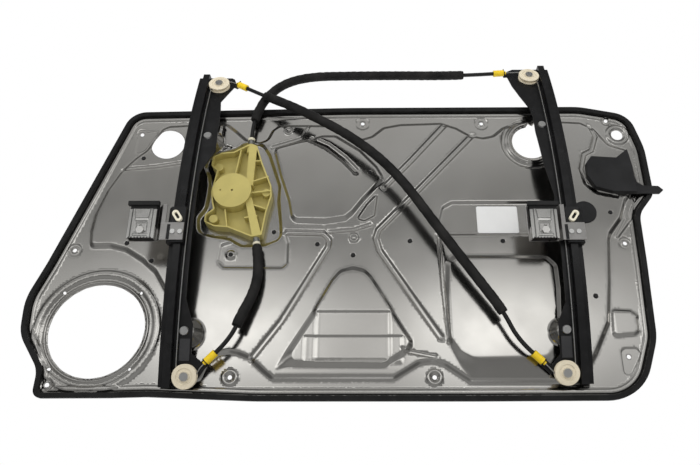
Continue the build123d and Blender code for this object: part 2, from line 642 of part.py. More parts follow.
def carrier_parts(end, edge_x, side, clamp_x):
    """All the pieces of one carrier, in its own plane: X along the door, Y up the rail, Z off the web."""
    place = face_plane(0, REST)
    parts = {}
    x0, x1 = clamp_x
    middle = (x0 + x1) / 2
    rivets = [(edge_x + side * a, RIVET_Y) for a in (8, 20)]
    with BuildPart() as shoe:
        with BuildSketch(arc_plane(REST - SHOE_HALF_ANGLE)):
            with BuildLine():
                Polyline(*[(edge_x + side * a, RAIL_R + b) for a, b in SHOE], close=True)
            make_face()
        revolve(axis=RAIL_AXIS, revolution_arc=2 * SHOE_HALF_ANGLE)
        with BuildSketch(place.offset(SHOE_FRONT - RIVET_DEPTH)):
            with Locations(*rivets):
                Circle(CARRIER_RIVET_R)
        extrude(amount=RIVET_DEPTH + 1, mode=Mode.SUBTRACT)
    parts["shoe"] = shoe.part

    # The lift plate: the rear jaw, stepped up to lie on the front of the shoe.
    over = sorted((edge_x - side * 3, edge_x + side * 25.2))
    step = x1 + 6
    back, front = JAW_BACK, SHOE_FRONT
    profile = [
        (x0, back), (step - 6, back), (step, front), (over[1], front), (over[1], front + JAW_T),
        (step - 1, front + JAW_T), (step - 7, back + JAW_T), (x0, back + JAW_T),
    ]
    across = Plane(
        origin=place.from_local_coords((0, CLAMP_LOW, 0)), x_dir=(1, 0, 0), z_dir=-place.y_dir
    )
    with BuildPart() as plate:
        with BuildSketch(across):
            with BuildLine():
                Polyline(*[(x, b) for x, b in profile], close=True)
            make_face()
        extrude(amount=-(CLAMP_HIGH - CLAMP_LOW))
        with BuildSketch(place.offset(front - 2)):
            with Locations(((over[0] + over[1]) / 2, CLAMP_HIGH)):
                Rectangle(over[1] - over[0] + 4, 2 * (CLAMP_HIGH - 2))
        extrude(amount=10, mode=Mode.SUBTRACT)
        with BuildSketch(place):
            with Locations((middle, BOLT_Y)):
                Circle(3.4)
            with Locations(*rivets):
                Circle(CARRIER_RIVET_R)
        extrude(amount=30, mode=Mode.SUBTRACT)
    parts["lift_plate"] = plate.part

    with BuildPart() as plate_rivets:
        with BuildSketch(place.offset(SHOE_FRONT - RIVET_DEPTH)):
            with Locations(*rivets):
                Circle(CARRIER_RIVET_R)
        extrude(amount=RIVET_DEPTH + JAW_T)
        with BuildSketch(place.offset(SHOE_FRONT + JAW_T)):
            with Locations(*rivets):
                Circle(4.5)
        extrude(amount=1.6, taper=20)
    parts["plate_rivets"] = plate_rivets.part

    gap_back = JAW_BACK + JAW_T + PAD_T
    jaw_back = gap_back + GLASS_GAP + PAD_T
    jaw_front = jaw_back + JAW_T
    with BuildPart() as jaw:
        with BuildSketch(place.offset(JAW_BACK + JAW_T)):
            with Locations((middle, (CLAMP_LOW + PAD_LOW) / 2 - 1)):
                Rectangle(x1 - x0 - 4, PAD_LOW - CLAMP_LOW - 2)
        extrude(amount=jaw_front - JAW_BACK - JAW_T)
        with BuildSketch(place.offset(JAW_BACK + JAW_T)):
            with Locations((middle, (CLAMP_LOW + PAD_LOW) / 2)):
                Rectangle(x1 - x0 - 8, PAD_LOW - CLAMP_LOW + 4)
        extrude(amount=jaw_back - JAW_BACK - JAW_T, mode=Mode.SUBTRACT)
        with BuildSketch(place.offset(jaw_back)):
            with Locations((middle, (PAD_LOW - 3 + CLAMP_HIGH - 5) / 2)):
                Rectangle(x1 - x0 - 4, CLAMP_HIGH - 5 - PAD_LOW + 3)
        extrude(amount=JAW_T)
        with BuildSketch(place.offset(jaw_back - 5)):
            with Locations((middle, BOLT_Y)):
                Circle(3.4)
        extrude(amount=10, mode=Mode.SUBTRACT)
    parts["clamp_jaw"] = jaw.part

    with BuildPart() as inner_pad:
        with BuildSketch(place.offset(JAW_BACK + JAW_T)):
            with Locations((middle, (PAD_LOW + CLAMP_HIGH) / 2)):
                Rectangle(x1 - x0 - 6, CLAMP_HIGH - PAD_LOW)
        extrude(amount=PAD_T)
    parts["clamp_inner_pad"] = inner_pad.part
    with BuildPart() as outer_pad:
        with BuildSketch(place.offset(jaw_back - PAD_T)):
            with Locations((middle, (PAD_LOW + CLAMP_HIGH + 2) / 2)):
                Rectangle(x1 - x0 - 6, CLAMP_HIGH + 2 - PAD_LOW)
        extrude(amount=PAD_T)
        with BuildSketch(place.offset(jaw_back - PAD_T)):
            with Locations((middle, CLAMP_HIGH - 1.5)):
                Rectangle(x1 - x0 + 2, 7)
        extrude(amount=PAD_T + JAW_T + 2)
    parts["clamp_outer_pad"] = outer_pad.part

    with BuildPart() as bolt:
        with BuildSketch(place.offset(JAW_BACK - 4)):
            with Locations((middle, BOLT_Y)):
                Circle(3.0)
        extrude(amount=jaw_front - JAW_BACK + 4)
        with BuildSketch(place.offset(jaw_front)):
            with Locations((middle, BOLT_Y)):
                RegularPolygon(6.5, 6)
        extrude(amount=4)
        with BuildSketch(place.offset(JAW_BACK - 4)):
            with Locations((middle, BOLT_Y)):
                RegularPolygon(6.5, 6)
        extrude(amount=4)
    parts["clamp_bolt"] = bolt.part

    with BuildPart() as clip:
        with BuildSketch(place.offset(SHOE_FRONT)):
            with Locations(Location((edge_x + side * 13, 13, 0), (0, 0, CLIP_TILT[end] + 90))):
                SlotOverall(21, 11)
                SlotOverall(13, 4.4, mode=Mode.SUBTRACT)
        extrude(amount=5)
    parts["cable_clip"] = clip.part
    return {f"{end}_{key}": value for key, value in parts.items()}


# ---- small pieces of the panel ----
with BuildPart() as hole_plugs:
    for x, z, height in PLUG_HOLES:
        with BuildSketch(PANEL.offset(height)):
            with Locations((x, z)):
                Circle(PLUG_R)
        extrude(amount=SHEET + 0.8)

SHROUD = [
    (696, 88), (674, 70), (630, 73), (620, 60), (619, 34), (630, 12), (660, 3), (714, 2), (742, 2),
    (750, 9), (742, 17), (716, 18), (706, 25), (700, 52),
]
with BuildPart() as latch_shroud:
    with BuildSketch(PANEL.offset(SHEET + FIELD)):
        with BuildLine():
            FilletPolyline(*SHROUD, radius=1.5, close=True)
        make_face()
    extrude(amount=11)
    with BuildSketch(PANEL.offset(SHEET + FIELD + 3)):
        with Locations((730, 40)):
            Rectangle(60, 120)
    extrude(amount=20, mode=Mode.SUBTRACT)

with BuildPart() as grommet:
    with BuildSketch(PANEL.offset(SHEET + FIELD)):
        with Locations((607, -33)):
            Circle(21)
    extrude(amount=2.5, taper=20)


PIECES = {
    "carrier_panel": carrier_panel.part,
    "perimeter_seal": perimeter_seal.part,
    "front_rail": front_rail.part,
    "rear_rail": rear_rail.part,
    "front_lower_guide": front_lower_guide,
    "rear_lower_guide": rear_lower_guide,
    "rail_rivets": rail_rivets.part,
    "drum_housing": drum_housing.part,
    "cable_drum": cable_drum.part,
    "front_cable": front_cable,
    "rear_cable": rear_cable,
    "upper_exit_spring": upper_exit_spring,
    "upper_exit_collar": upper_exit_collar,
    "lower_exit_spring": lower_exit_spring,
    "lower_exit_collar": lower_exit_collar,
    "latch_shroud": latch_shroud.part,
    "grommet": grommet.part,
    "hole_plugs": hole_plugs.part,
}
for name, key in PULLEYS.items():
    PIECES[name] = pulley(pulley_place(*key))
    PIECES[name + "_rivet"] = pulley_rivet(pulley_place(*key))
    PIECES[name.replace("pulley", "ferrule")] = ferrule(ENDS[name])
for name, route in ROUTES.items():
    PIECES[name + "_conduit"] = conduit(route)
    PIECES[name + "_sleeve"] = sleeve(route, SLEEVED[name])
PIECES.update(carrier_parts("front", FRONT_EDGE_X, 1, FRONT_CLAMP_X))
PIECES.update(carrier_parts("rear", REAR_EDGE_X, -1, REAR_CLAMP_X))
os.makedirs("parts", exist_ok=True)
for name, piece in PIECES.items():
    piece.label = name
    export_step(piece, f"parts/{name}.step")
    print(name, piece.is_valid, len(piece.solids()), round(piece.volume))
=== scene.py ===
from math import atan2, cos, hypot, pi, radians, sin, tan

import bmesh
import bpy
import numpy as np
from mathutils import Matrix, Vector
from mathutils.geometry import delaunay_2d_cdt


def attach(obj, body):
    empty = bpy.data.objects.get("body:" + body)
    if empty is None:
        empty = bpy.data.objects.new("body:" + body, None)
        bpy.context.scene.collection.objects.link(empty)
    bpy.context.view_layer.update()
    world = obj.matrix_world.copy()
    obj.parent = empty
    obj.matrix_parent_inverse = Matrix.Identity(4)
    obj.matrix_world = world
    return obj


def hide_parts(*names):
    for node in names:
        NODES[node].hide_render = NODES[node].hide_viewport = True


# Looks of a twin-rail window regulator on its pressed steel carrier panel. Metres, in the CAD frame:
# X along the door, Z up, glass side towards -Y. Outlines are written in millimetres and scaled by MM.
MM = 0.001

# ---- driving sizes, as in the CAD ----
SHEET = 1.5
ARC_Y, ARC_Z, RAIL_R = 978.5, -46.0, 1030.0  # the arc that both rails follow
SPEAKER = (-200.0, -241.0, 77.0)  # x, z, radius
MOTOR_BORE_R = 36.0
SPEAKER_PCD, MOTOR_PCD = 177.0, 116.0  # diameters of the screws' circles
BOLT_HOLE_R, MOTOR_HOLE_R, SCREW_HOLE_R, PLUG_R = 3.5, 3.3, 2.4, 3.2
SLEEVE_R, CONDUIT_R = 8.5, 3.5

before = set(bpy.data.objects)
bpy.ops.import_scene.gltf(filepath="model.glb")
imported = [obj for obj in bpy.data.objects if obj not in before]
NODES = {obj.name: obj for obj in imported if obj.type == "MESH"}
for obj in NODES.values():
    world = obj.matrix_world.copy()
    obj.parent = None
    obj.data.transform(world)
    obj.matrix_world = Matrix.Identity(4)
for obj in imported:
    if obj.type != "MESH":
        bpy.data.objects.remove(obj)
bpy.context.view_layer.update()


def added(name, data):
    """A new object in the scene."""
    obj = bpy.data.objects.new(name, data)
    bpy.context.collection.objects.link(obj)
    return obj


# ---- materials ----
def material(name, color, metallic=0.0, roughness=0.5):
    """A Principled material and its shader. The constant values sit on the shader's own sockets."""
    mat = bpy.data.materials.new(name)
    mat.use_nodes = True
    shader = mat.node_tree.nodes["Principled BSDF"]
    shader.inputs["Base Color"].default_value = (*color, 1)
    shader.inputs["Metallic"].default_value = metallic
    shader.inputs["Roughness"].default_value = roughness
    return mat, shader


def texture_node(mat, kind, scale, stretch=(1, 1, 1)):
    """A texture laid in object space."""
    tree = mat.node_tree
    coords = tree.nodes.new("ShaderNodeTexCoord")
    mapping = tree.nodes.new("ShaderNodeMapping")
    mapping.inputs["Scale"].default_value = stretch
    texture = tree.nodes.new("ShaderNodeTex" + kind)
    texture.inputs["Scale"].default_value = scale
    tree.links.new(coords.outputs["Object"], mapping.inputs["Vector"])
    tree.links.new(mapping.outputs["Vector"], texture.inputs["Vector"])
    return texture


def noise(mat, scale, detail=4.0, stretch=(1, 1, 1)):
    """A noise factor in object space."""
    texture = texture_node(mat, "Noise", scale, stretch)
    texture.inputs["Detail"].default_value = detail
    return texture.outputs["Fac"]


def ramp(mat, factor, low, high, start=0.3, stop=0.7):
    """Two colours or two values laid over a factor."""
    tree = mat.node_tree
    node = tree.nodes.new("ShaderNodeValToRGB")
    elements = node.color_ramp.elements
    elements[0].position, elements[1].position = start, stop
    for element, value in zip(elements, (low, high)):
        element.color = (*value, 1) if hasattr(value, "__len__") else (value, value, value, 1)
    tree.links.new(factor, node.inputs["Fac"])
    return node.outputs["Color"]


def bump(mat, shader, factor, distance, strength):
    """A fine relief in the shading alone, of a height in metres."""
    tree = mat.node_tree
    node = tree.nodes.new("ShaderNodeBump")
    node.inputs["Distance"].default_value = distance
    node.inputs["Strength"].default_value = strength
    tree.links.new(factor, node.inputs["Height"])
    tree.links.new(node.outputs["Normal"], shader.inputs["Normal"])


EDGE_WIDTH = 0.0007  # metres


def soft_edges(mat, width):
    """Round the sharp edges in the shading, so that they catch a fine line of light."""
    edge = mat.node_tree.nodes.new("ShaderNodeBevel")
    edge.samples = 4
    edge.inputs["Radius"].default_value = width
    bumps = [n for n in mat.node_tree.nodes if n.type == "BUMP" and not n.inputs["Normal"].is_linked]
    for node in bumps:
        mat.node_tree.links.new(edge.outputs["Normal"], node.inputs["Normal"])


def connect(mat, value, socket):
    """Feed a shader's socket from a node."""
    mat.node_tree.links.new(value, socket)


def panel_steel():
    """Bare rolled sheet: warm grey, faint cloudy sheen and a fine grain along the sheet."""
    mat, shader = material("panel_steel", (0.6, 0.585, 0.56), 1.0, 0.17)
    clouds = noise(mat, 5.0, 3.0)
    connect(mat, ramp(mat, clouds, (0.56, 0.545, 0.52), (0.64, 0.628, 0.605)), shader.inputs["Base Color"])
    connect(mat, ramp(mat, noise(mat, 14.0, 5.0), 0.14, 0.2), shader.inputs["Roughness"])
    grain = noise(mat, 700.0, 2.0, (0.12, 1, 1))
    bump(mat, shader, grain, 0.00001, 0.15)
    return mat


def painted(name, color, roughness, grain=1500.0):
    """Black paint or rubber with a little dust and a fine skin."""
    mat, shader = material(name, color, 0.0, roughness)
    dust = noise(mat, 60.0, 6.0)
    lighter = tuple(c * 1.5 + 0.003 for c in color)
    connect(mat, ramp(mat, dust, color, lighter, 0.45, 0.8), shader.inputs["Base Color"])
    connect(mat, ramp(mat, noise(mat, 25.0), roughness - 0.05, roughness + 0.1), shader.inputs["Roughness"])
    shader.inputs["Specular IOR Level"].default_value = 0.35
    bump(mat, shader, noise(mat, grain, 2.0), 0.00003, 0.25)
    soft_edges(mat, EDGE_WIDTH)
    return mat


def moulded(name, color, roughness=0.45, depth=0.12, specular=0.4):
    """Moulded plastic: a slight drift of colour and a fine skin."""
    mat, shader = material(name, color, 0.0, roughness)
    darker = tuple(c * (1 - depth) for c in color)
    connect(mat, ramp(mat, noise(mat, 30.0, 3.0), darker, color), shader.inputs["Base Color"])
    connect(mat, ramp(mat, noise(mat, 80.0), roughness - 0.06, roughness + 0.06), shader.inputs["Roughness"])
    shader.inputs["Specular IOR Level"].default_value = specular
    bump(mat, shader, noise(mat, 700.0, 3.0), 0.00004, 0.3)
    return mat


def zinc(name, color, roughness):
    """Zinc plate or bright steel, slightly uneven."""
    mat, shader = material(name, color, 1.0, roughness)
    darker = tuple(c * 0.9 for c in color)
    connect(mat, ramp(mat, noise(mat, 45.0, 5.0), darker, color), shader.inputs["Base Color"])
    shine = ramp(mat, noise(mat, 90.0, 5.0), roughness - 0.04, roughness + 0.07)
    connect(mat, shine, shader.inputs["Roughness"])
    bump(mat, shader, noise(mat, 260.0, 3.0), 0.000012, 0.3)
    return mat


def foam():
    """Closed-cell foam: near black, open pores, no shine."""
    mat, shader = material("foam", (0.012, 0.012, 0.012), 0.0, 0.7)
    pores = texture_node(mat, "Voronoi", 900.0)
    dust = ramp(mat, noise(mat, 40.0, 5.0), (0.009, 0.009, 0.009), (0.022, 0.021, 0.02))
    connect(mat, dust, shader.inputs["Base Color"])
    shader.inputs["Specular IOR Level"].default_value = 0.25
    bump(mat, shader, pores.outputs["Distance"], 0.0004, 0.6)
    return mat


def strand():
    """Twisted wire rope, with painted shade between its strands and painted highlight on them."""
    mat, shader = material("cable_strand", (0.5, 0.5, 0.49), 1.0, 0.35)
    wave = texture_node(mat, "Wave", 420.0)
    wave.bands_direction = "DIAGONAL"
    # painted shade in the grooves between the strands and painted highlight on their crowns, in the base
    # colour
    lay_painted_shade = ramp(mat, wave.outputs["Fac"], (0.5, 0.5, 0.49), (0.85, 0.85, 0.84))
    connect(mat, lay_painted_shade, shader.inputs["Base Color"])
    bump(mat, shader, wave.outputs["Fac"], 0.0002, 0.7)
    return mat


STEEL = panel_steel()
RAIL = painted("rail_paint", (0.007, 0.007, 0.0075), 0.3)
RUBBER = painted("seal_rubber", (0.007, 0.007, 0.007), 0.5, 900.0)
NYLON = moulded("housing_nylon", (0.50, 0.425, 0.135), 0.4, 0.14, 0.45)
CREAM = moulded("pulley_acetal", (0.74, 0.66, 0.50), 0.38, 0.1)
YELLOW = moulded("ferrule_plastic", (0.86, 0.60, 0.015), 0.3, 0.08, 0.5)
BLACK = moulded("black_plastic", (0.016, 0.016, 0.017), 0.5, 0.35)
CONDUIT = moulded("conduit_plastic", (0.012, 0.012, 0.012), 0.38, 0.3, 0.5)
PAD = moulded("pad_rubber", (0.02, 0.02, 0.02), 0.7, 0.35, 0.3)
BEIGE = moulded("collar_plastic", (0.66, 0.62, 0.47), 0.4)
IVORY = moulded("clip_plastic", (0.78, 0.73, 0.58), 0.35)
ZINC = zinc("zinc_plate", (0.80, 0.79, 0.77), 0.2)
RIVET = zinc("rivet_steel", (0.78, 0.78, 0.77), 0.42)
SPRING = zinc("spring_wire", (0.66, 0.66, 0.64), 0.22)
PAPER = moulded("label_paper", (0.74, 0.74, 0.73), 0.35, 0.05, 0.5)
GUIDE = moulded("guide_plastic", (0.04, 0.04, 0.042), 0.42, 0.3)
FOAM = foam()
STRAND = strand()
# darker copies of the zinc plate, painted shade: the jaw face and the lift plate are the same zinc-plated
# steel as ZINC
JAW_ZINC_SHADED = zinc("jaw_zinc_painted_shade", (0.56, 0.555, 0.54), 0.2)
LIFT_ZINC_SHADED = zinc("lift_zinc_painted_shade", (0.46, 0.45, 0.44), 0.3)
# a brighter copy of the rivet steel, painted highlight on the lift plates' rivets
RIVET_HIGHLIT = zinc("rivet_painted_highlight", (0.9, 0.9, 0.89), 0.3)

# The ending of a node's name and its material.
FINISH = [
    ("lift_plate", LIFT_ZINC_SHADED), ("plate_rivets", RIVET_HIGHLIT), ("_rail", RAIL), ("perimeter_seal", RUBBER),
    ("drum_housing", NYLON), ("cable_drum", CREAM), ("_pulley", CREAM), ("ferrule", YELLOW),
    ("_conduit", CONDUIT), ("_sleeve", FOAM), ("_cable", STRAND), ("cable_clip", IVORY),
    ("collar", BEIGE), ("exit_spring", SPRING), ("_pad", PAD), ("_shoe", BLACK),
    ("latch_shroud", BLACK), ("hole_plugs", BLACK), ("grommet", BLACK), ("guide", GUIDE),
    ("rail_rivets", RIVET), ("pulley_rivet", RIVET), ("carrier_panel", STEEL),
]


def finish_of(name):
    """The material of a CAD node, by the end of its name."""
    for ending, mat in FINISH:
        if name.endswith(ending):
            return mat
    return ZINC


# CAD nodes that no piece replaces are seen as they are, in these finishes.
for node_name, node in NODES.items():
    node.data.materials.clear()
    node.data.materials.append(finish_of(node_name))


# ---- outlines and the pressed sheet ----
ARC_STEP = 2.0  # mm between points on an arc


def rounded(points, radius=0.0):
    """A closed outline with its corners rounded: by a point's third value, or else by the radius."""
    corners = [np.array(p[:2], float) for p in points]
    radii = [p[2] if len(p) > 2 else radius for p in points]
    out = []
    earlier, later = corners[-1:] + corners[:-1], corners[1:] + corners[:1]
    for before, corner, after, r in zip(earlier, corners, later, radii):
        a, b = before - corner, after - corner
        la, lb = np.hypot(*a), np.hypot(*b)
        a, b = a / la, b / lb
        half = np.arccos(np.clip(a @ b, -1, 1)) / 2
        if half > pi / 2 - 0.01:  # almost straight on
            out.append(corner)
            continue
        reach = min(r / tan(half), 0.49 * la, 0.49 * lb)
        r = reach * tan(half)
        centre = corner + (a + b) / np.hypot(*(a + b)) * hypot(r, reach)
        start, end = corner + a * reach - centre, corner + b * reach - centre
        first = atan2(start[1], start[0])
        turn = (atan2(end[1], end[0]) - first + pi) % (2 * pi) - pi
        count = max(2, int(abs(turn) * r / ARC_STEP) + 1)
        for i in range(count + 1):
            angle = first + turn * i / count
            out.append(centre + r * np.array((cos(angle), sin(angle))))
    return np.array(out)


def circle(x, z, r, count=None):
    """Points round a circle, ARC_STEP apart unless a count is given."""
    count = count or max(16, int(2 * pi * r / ARC_STEP))
    turns = [2 * pi * i / count for i in range(count)]
    return np.array([(x + r * cos(a), z + r * sin(a)) for a in turns])


def inside_distance(p, outline):
    """How far each point is inside a closed outline, in mm. It is negative outside."""
    best = np.full(len(p), 1e9)
    odd = np.zeros(len(p), bool)
    for a, b in zip(outline, np.roll(outline, -1, 0)):
        d = b - a
        length2 = max(d @ d, 1e-9)
        t = np.clip(((p - a) @ d) / length2, 0, 1)
        best = np.minimum(best, np.hypot(*(p - a - t[:, None] * d).T))
        crossing = (a[1] > p[:, 1]) != (b[1] > p[:, 1])
        with np.errstate(divide="ignore", invalid="ignore"):
            x = a[0] + (p[:, 1] - a[1]) * d[0] / d[1]
        odd ^= crossing & (p[:, 0] < x)
    return np.where(odd, best, -best)


def line_distance(p, points):
    """The distance from an open line of straight runs."""
    best = np.full(len(p), 1e9)
    line = np.array(points, float)
    for a, b in zip(line, line[1:]):
        d = b - a
        t = np.clip(((p - a) @ d) / (d @ d), 0, 1)
        best = np.minimum(best, np.hypot(*(p - a - t[:, None] * d).T))
    return best


def smooth(t):
    """A soft step from 0 to 1."""
    t = np.clip(t, 0, 1)
    return t * t * (3 - 2 * t)


# The panel's edge: x, z and corner radius.
RIM = [
    (-204, 174, 38), (200, 184, 900), (626, 186.5, 130), (716, 168, 42), (733, 96, 130), (733, 2, 32),
    (702, -36, 40), (699, -125, 700), (692, -255, 90), (655, -351.5, 78), (398, -353, 900), (60, -353, 900),
    (-105, -346.5, 120), (-160, -348, 120), (-279, -348.5, 14), (-279, -305, 40), (-319, -248, 60),
    (-323, -190, 90), (-300, -128, 160),
]
SEAL_OVERHANG = 2.0  # how far the seal reaches past the sheet
BOLT_HOLES = [
    (223.5, 152.5), (443, 152.5), (20, -316), (338, -316), (-261, -102), (670, -89), (645, -283.5),
    (-181, 128.5), (-261, -328), (674, 158),
]
PLUG_HOLES = [  # x, z, height over the rim
    (-169, 75, 6), (237, 43, 11), (652, -33, 6), (605, -185, 6), (462, -87, 6), (305, -87, 6),
    (209, -113, 6), (148.5, -93, 6), (73, -68, 0), (4, -112, 6), (-173, -91, 6), (-127, -123, 6),
]
ACCESS_HOLES = [(-128.5, 104, 30.0), (528, 108, 33.0), (690, 128, 10.5)]  # x, z, radius
MOTOR_HOLES = [
    (MOTOR_PCD / 2 * cos(radians(a)), MOTOR_PCD / 2 * sin(radians(a))) for a in (0, 120, 240)
]
SPEAKER_HOLES = [
    (SPEAKER[0] + SPEAKER_PCD / 2 * cos(radians(a)), SPEAKER[1] + SPEAKER_PCD / 2 * sin(radians(a)))
    for a in (45, 135, 225, 315)
]
DOMES = [  # foot x, z, base x, z and base radius
    (-49, 101, -53, 109, 27), (544, 127, 554, 146, 20),
    (-51, -250, -51, -250, 31), (543, -248, 543, -248, 31),
]
DOME_TOP_R, RIVET_HOLE_R = 12.0, 5.0
DOME_FLARE, DOME_REACH = 7.0, 12.0  # past the base: where the denser rings begin, and how far it acts
DOME_GAP = 0.05  # between a dome's roof and the rail's back

# Outlines of the pressed forms, x and z.
RAISED_FIELD = [
    (-133, 148), (-100, 150), (-60, 152), (-24, 152), (-6, 137), (14, 118), (34, 112), (48, 118), (56, 138),
    (70, 150), (122, 150), (175, 149), (190, 143), (206, 126), (222, 120), (239, 126), (260, 145), (292, 152),
    (368, 155), (397, 144), (421, 128), (443, 123), (460, 127), (479, 144), (508, 157), (591, 158),
    (626, 156),
    (650, 142), (672, 108), (705, 96), (712, 20), (686, -10), (672, -46), (650, -74), (646, -85), (636, -160),
    (624, -230), (596, -282), (566, -327), (392, -327), (352, -300), (335, -295), (316, -298), (276, -322),
    (84, -322), (70, -311), (45, -289), (29, -283), (15, -280), (0, -284), (-14, -296), (-26, -325),
    (-75, -324), (-92, -190), (-122, -144), (-146, -124), (-175, -106), (-202, -99), (-238, -100),
    (-242, -68),
    (-240, -36), (-226, 13), (-207, 53), (-187, 78), (-169, 95), (-156, 121), (-146, 141),
]
POCKET_CORNER = 20.0
DRUM_POCKET = [
    (-56, 82), (-22, 92), (-4, 98), (8, 110), (44, 110), (60, 84), (82, 20), (82, -10), (88, -56), (90, -84),
    (60, -97), (20, -99), (-4, -86), (-30, -82), (-58, -74), (-62, -42), (-50, -24), (-48, 0), (-48, 20),
    (-52, 40), (-60, 56),
]
UPPER_PAD = [
    (60, 96), (76, 37), (93, -13), (99, -43), (107, -54), (160, -56), (197, -50), (210, -38), (228, -13),
    (266, 32), (252, 58), (222, 92), (176, 124), (150, 124), (127, 116), (112, 113),
]
TEAR = [(212, -46), (228, -51), (247, -40), (252, 0), (246, 2), (230, -16)]
CENTRE_TOP = [
    (153, -207), (179, -161), (191, -147), (209, -143), (228, -148), (240, -164), (269, -207), (273, -223),
    (288, -246), (299, -260), (295, -270), (259, -294), (118, -292), (116, -280), (133, -251), (151, -221),
]
CENTRE_SKIRT = [
    (84, -310), (95, -291), (142, -214), (172, -156), (186, -138), (209, -131), (230, -136), (244, -151),
    (273, -204), (308, -264), (300, -278), (260, -303), (110, -301),
]
RIGHT_PAD = [
    (371, -130), (382, -122), (528, -122), (540, -135), (540, -171), (535, -220), (530, -241), (524, -272),
    (512, -282), (398, -285), (381, -277), (366, -254), (367, -185),
]
RIGHT_SKIRT = [
    (362, -124), (374, -112), (534, -113), (549, -130), (549, -172), (545, -222), (542, -250), (556, -322),
    (392, -322), (378, -300), (358, -256), (359, -180),
]
LABEL_FIELD = [
    (352, -52), (360, -22), (378, -11), (542, -10), (552, -22), (548, -70), (534, -77), (362, -78),
    (350, -72),
]
LOWER_POCKET = [
    (-16, -92), (-19, -126), (-8, -138), (93, -139), (103, -129), (102, -90), (96, -70), (60, -66),
]
CORNER_PAD = [(-146, 138), (-182, 134), (-189, 127), (-188, 84), (-170, 95), (-158, 120)]
SIDE_TAB = [(626, -204), (660, -206), (672, -216), (670, -244), (660, -251), (622, -254)]
CORNER_DISH = [(632, -274), (640, -268), (661, -268), (666, -280), (645, -313), (632, -313)]
NECK_RIDGE = [(681, 4), (674, -42), (652, -78), (660, -82), (690, -46), (702, -4)]
# Pressed forms: outline, corner radius, height over what is round it, width of the wall.
FORMS = [
    (RAISED_FIELD, 12, 6.0, 9.0),
    (UPPER_PAD, 14, 5.0, 9.0),
    (LABEL_FIELD, 12, -3.0, 6.0),
    (LOWER_POCKET, 10, -2.4, 6.0),
    (CORNER_PAD, 7, -2.0, 4.0),
    (NECK_RIDGE, 8, 2.0, 5.0),
    (SIDE_TAB, 9, 3.0, 6.0),
    (CORNER_DISH, 8, -1.8, 4.0),
    (TEAR, 6, -3.0, 4.0),
]
# Forms whose wall is as wide as the gap between two outlines: skirt, top, corner radius, height.
SKIRTED = [(CENTRE_SKIRT, CENTRE_TOP, 16, 5.0), (RIGHT_SKIRT, RIGHT_PAD, 12, 5.0)]
# Beads: line, half width, height at the middle.
BEADS = [
    ([(97, -71), (158, -73), (168, -84), (167, -98), (95, -228), (52, -288)], 6.0, -3.2),
    ([(425, 126), (322, 11), (252, -66), (247, -82), (253, -104), (318, -205), (350, -254)], 6.5, -3.2),
    ([(372, 144), (310, 70), (262, 16)], 6.5, -3.2),
    ([(170, -70), (210, -66), (238, -56)], 4.0, -2.0),
    ([(132, 112), (160, 98), (190, 72), (212, 46)], 8.0, -2.6),
    ([(60, 98), (100, 112), (113, 117), (124, 142)], 4.0, -2.4),
    ([(-33, 146), (-34, 112), (-27, 99), (-16, 97)], 3.5, -2.0),
    ([(-204, 52), (-145, 58), (-100, 66)], 4.0, -1.6),
    ([(640, 146), (648, 122), (637, 92), (622, 84), (613, 53), (618, 24), (637, 7), (666, 0)], 5.0, -3.0),
    ([(668, -222), (668, -240)], 3.5, -1.5),
    ([(354, -80), (357, -170), (363, -262)], 4.0, -2.2),
    ([(290, -275), (340, -285)], 4.0, -2.0),
]
# Low steps down the middle pad: height, from X to X, and how far the sheet drops below it.
STEPS = [(-211, 150, 272, 1.3), (-251, 132, 290, 1.3)]
# Stamped rings: centre x, z, inner and outer radius, height.
RINGS = [
    (528, 108, 36, 43, 1.8), (528, 108, 45, 54, -2.2), (SPEAKER[0], SPEAKER[1], 79, 84, 2.0),
    (SPEAKER[0], SPEAKER[1], 88, 104, 2.6), (88.0, 134.0, 4.0, 9.0, 1.4), (210.0, -81.0, 4.0, 9.0, 1.4),
    (20, -316, 6, 14, 2.2), (338, -316, 6, 14, 2.2), (223.5, 152.5, 5, 13, -1.6), (443, 152.5, 5, 13, -1.6),
    (-261, -102, 5, 12, -1.5), (670, -89, 5, 11, -1.5), (-181, 128.5, 5, 11, -1.2), (690, 128, 12, 22, 2.2),
    (645, -283.5, 5, 11, -1.4), (-261, -328, 5, 10, -1.2), (674, 158, 4, 9, -1.0),
]
# Places where other pieces sit: centre, radius and the height of the flat there over the rim.
SEATS = [(607, -33, 24, 6.0), *[(x, z, 5.0, h) for x, z, h in PLUG_HOLES]]
POCKET_WALL = 7.0  # how wide the drum pocket's wall is
LOWEST = -0.9  # no bead goes deeper behind the rim than this
RIM_BEAD = (8.0, 17.0, 1.8)  # from and to, inward of the edge, and height


def ease(t, corner=0.3):
    """A pressed wall's profile: a straight slope whose two ends turn in short arcs."""
    t = np.clip(t, 0, 1)
    k = 2 * corner * (1 - corner)
    slope = (t - corner / 2) / (1 - corner)
    return np.where(t < corner, t * t / k, np.where(t > 1 - corner, 1 - (1 - t) ** 2 / k, slope))


def seat(height, p, x, z, r, level):
    """Flatten the sheet to a level inside a circle, with a soft edge."""
    share = 1 - smooth((np.hypot(p[:, 0] - x, p[:, 1] - z) - r) / 5)
    return height * (1 - share) + level * share


def near(p, outline, margin):
    """The rows of the points that lie in an outline's box, grown by a margin."""
    lo, hi = np.min(outline, 0) - margin, np.max(outline, 0) + margin
    return np.nonzero(((p >= lo) & (p <= hi)).all(1))[0]


def raise_field(height, p, outline, delta, wall):
    """Add one pressed form to the heights."""
    rows = near(p, outline, wall)
    height[rows] += delta * ease(inside_distance(p[rows], outline) / wall)


def sheet_edge():
    """The outline of the sheet itself."""
    return shifted(rounded(RIM), SEAL_OVERHANG)


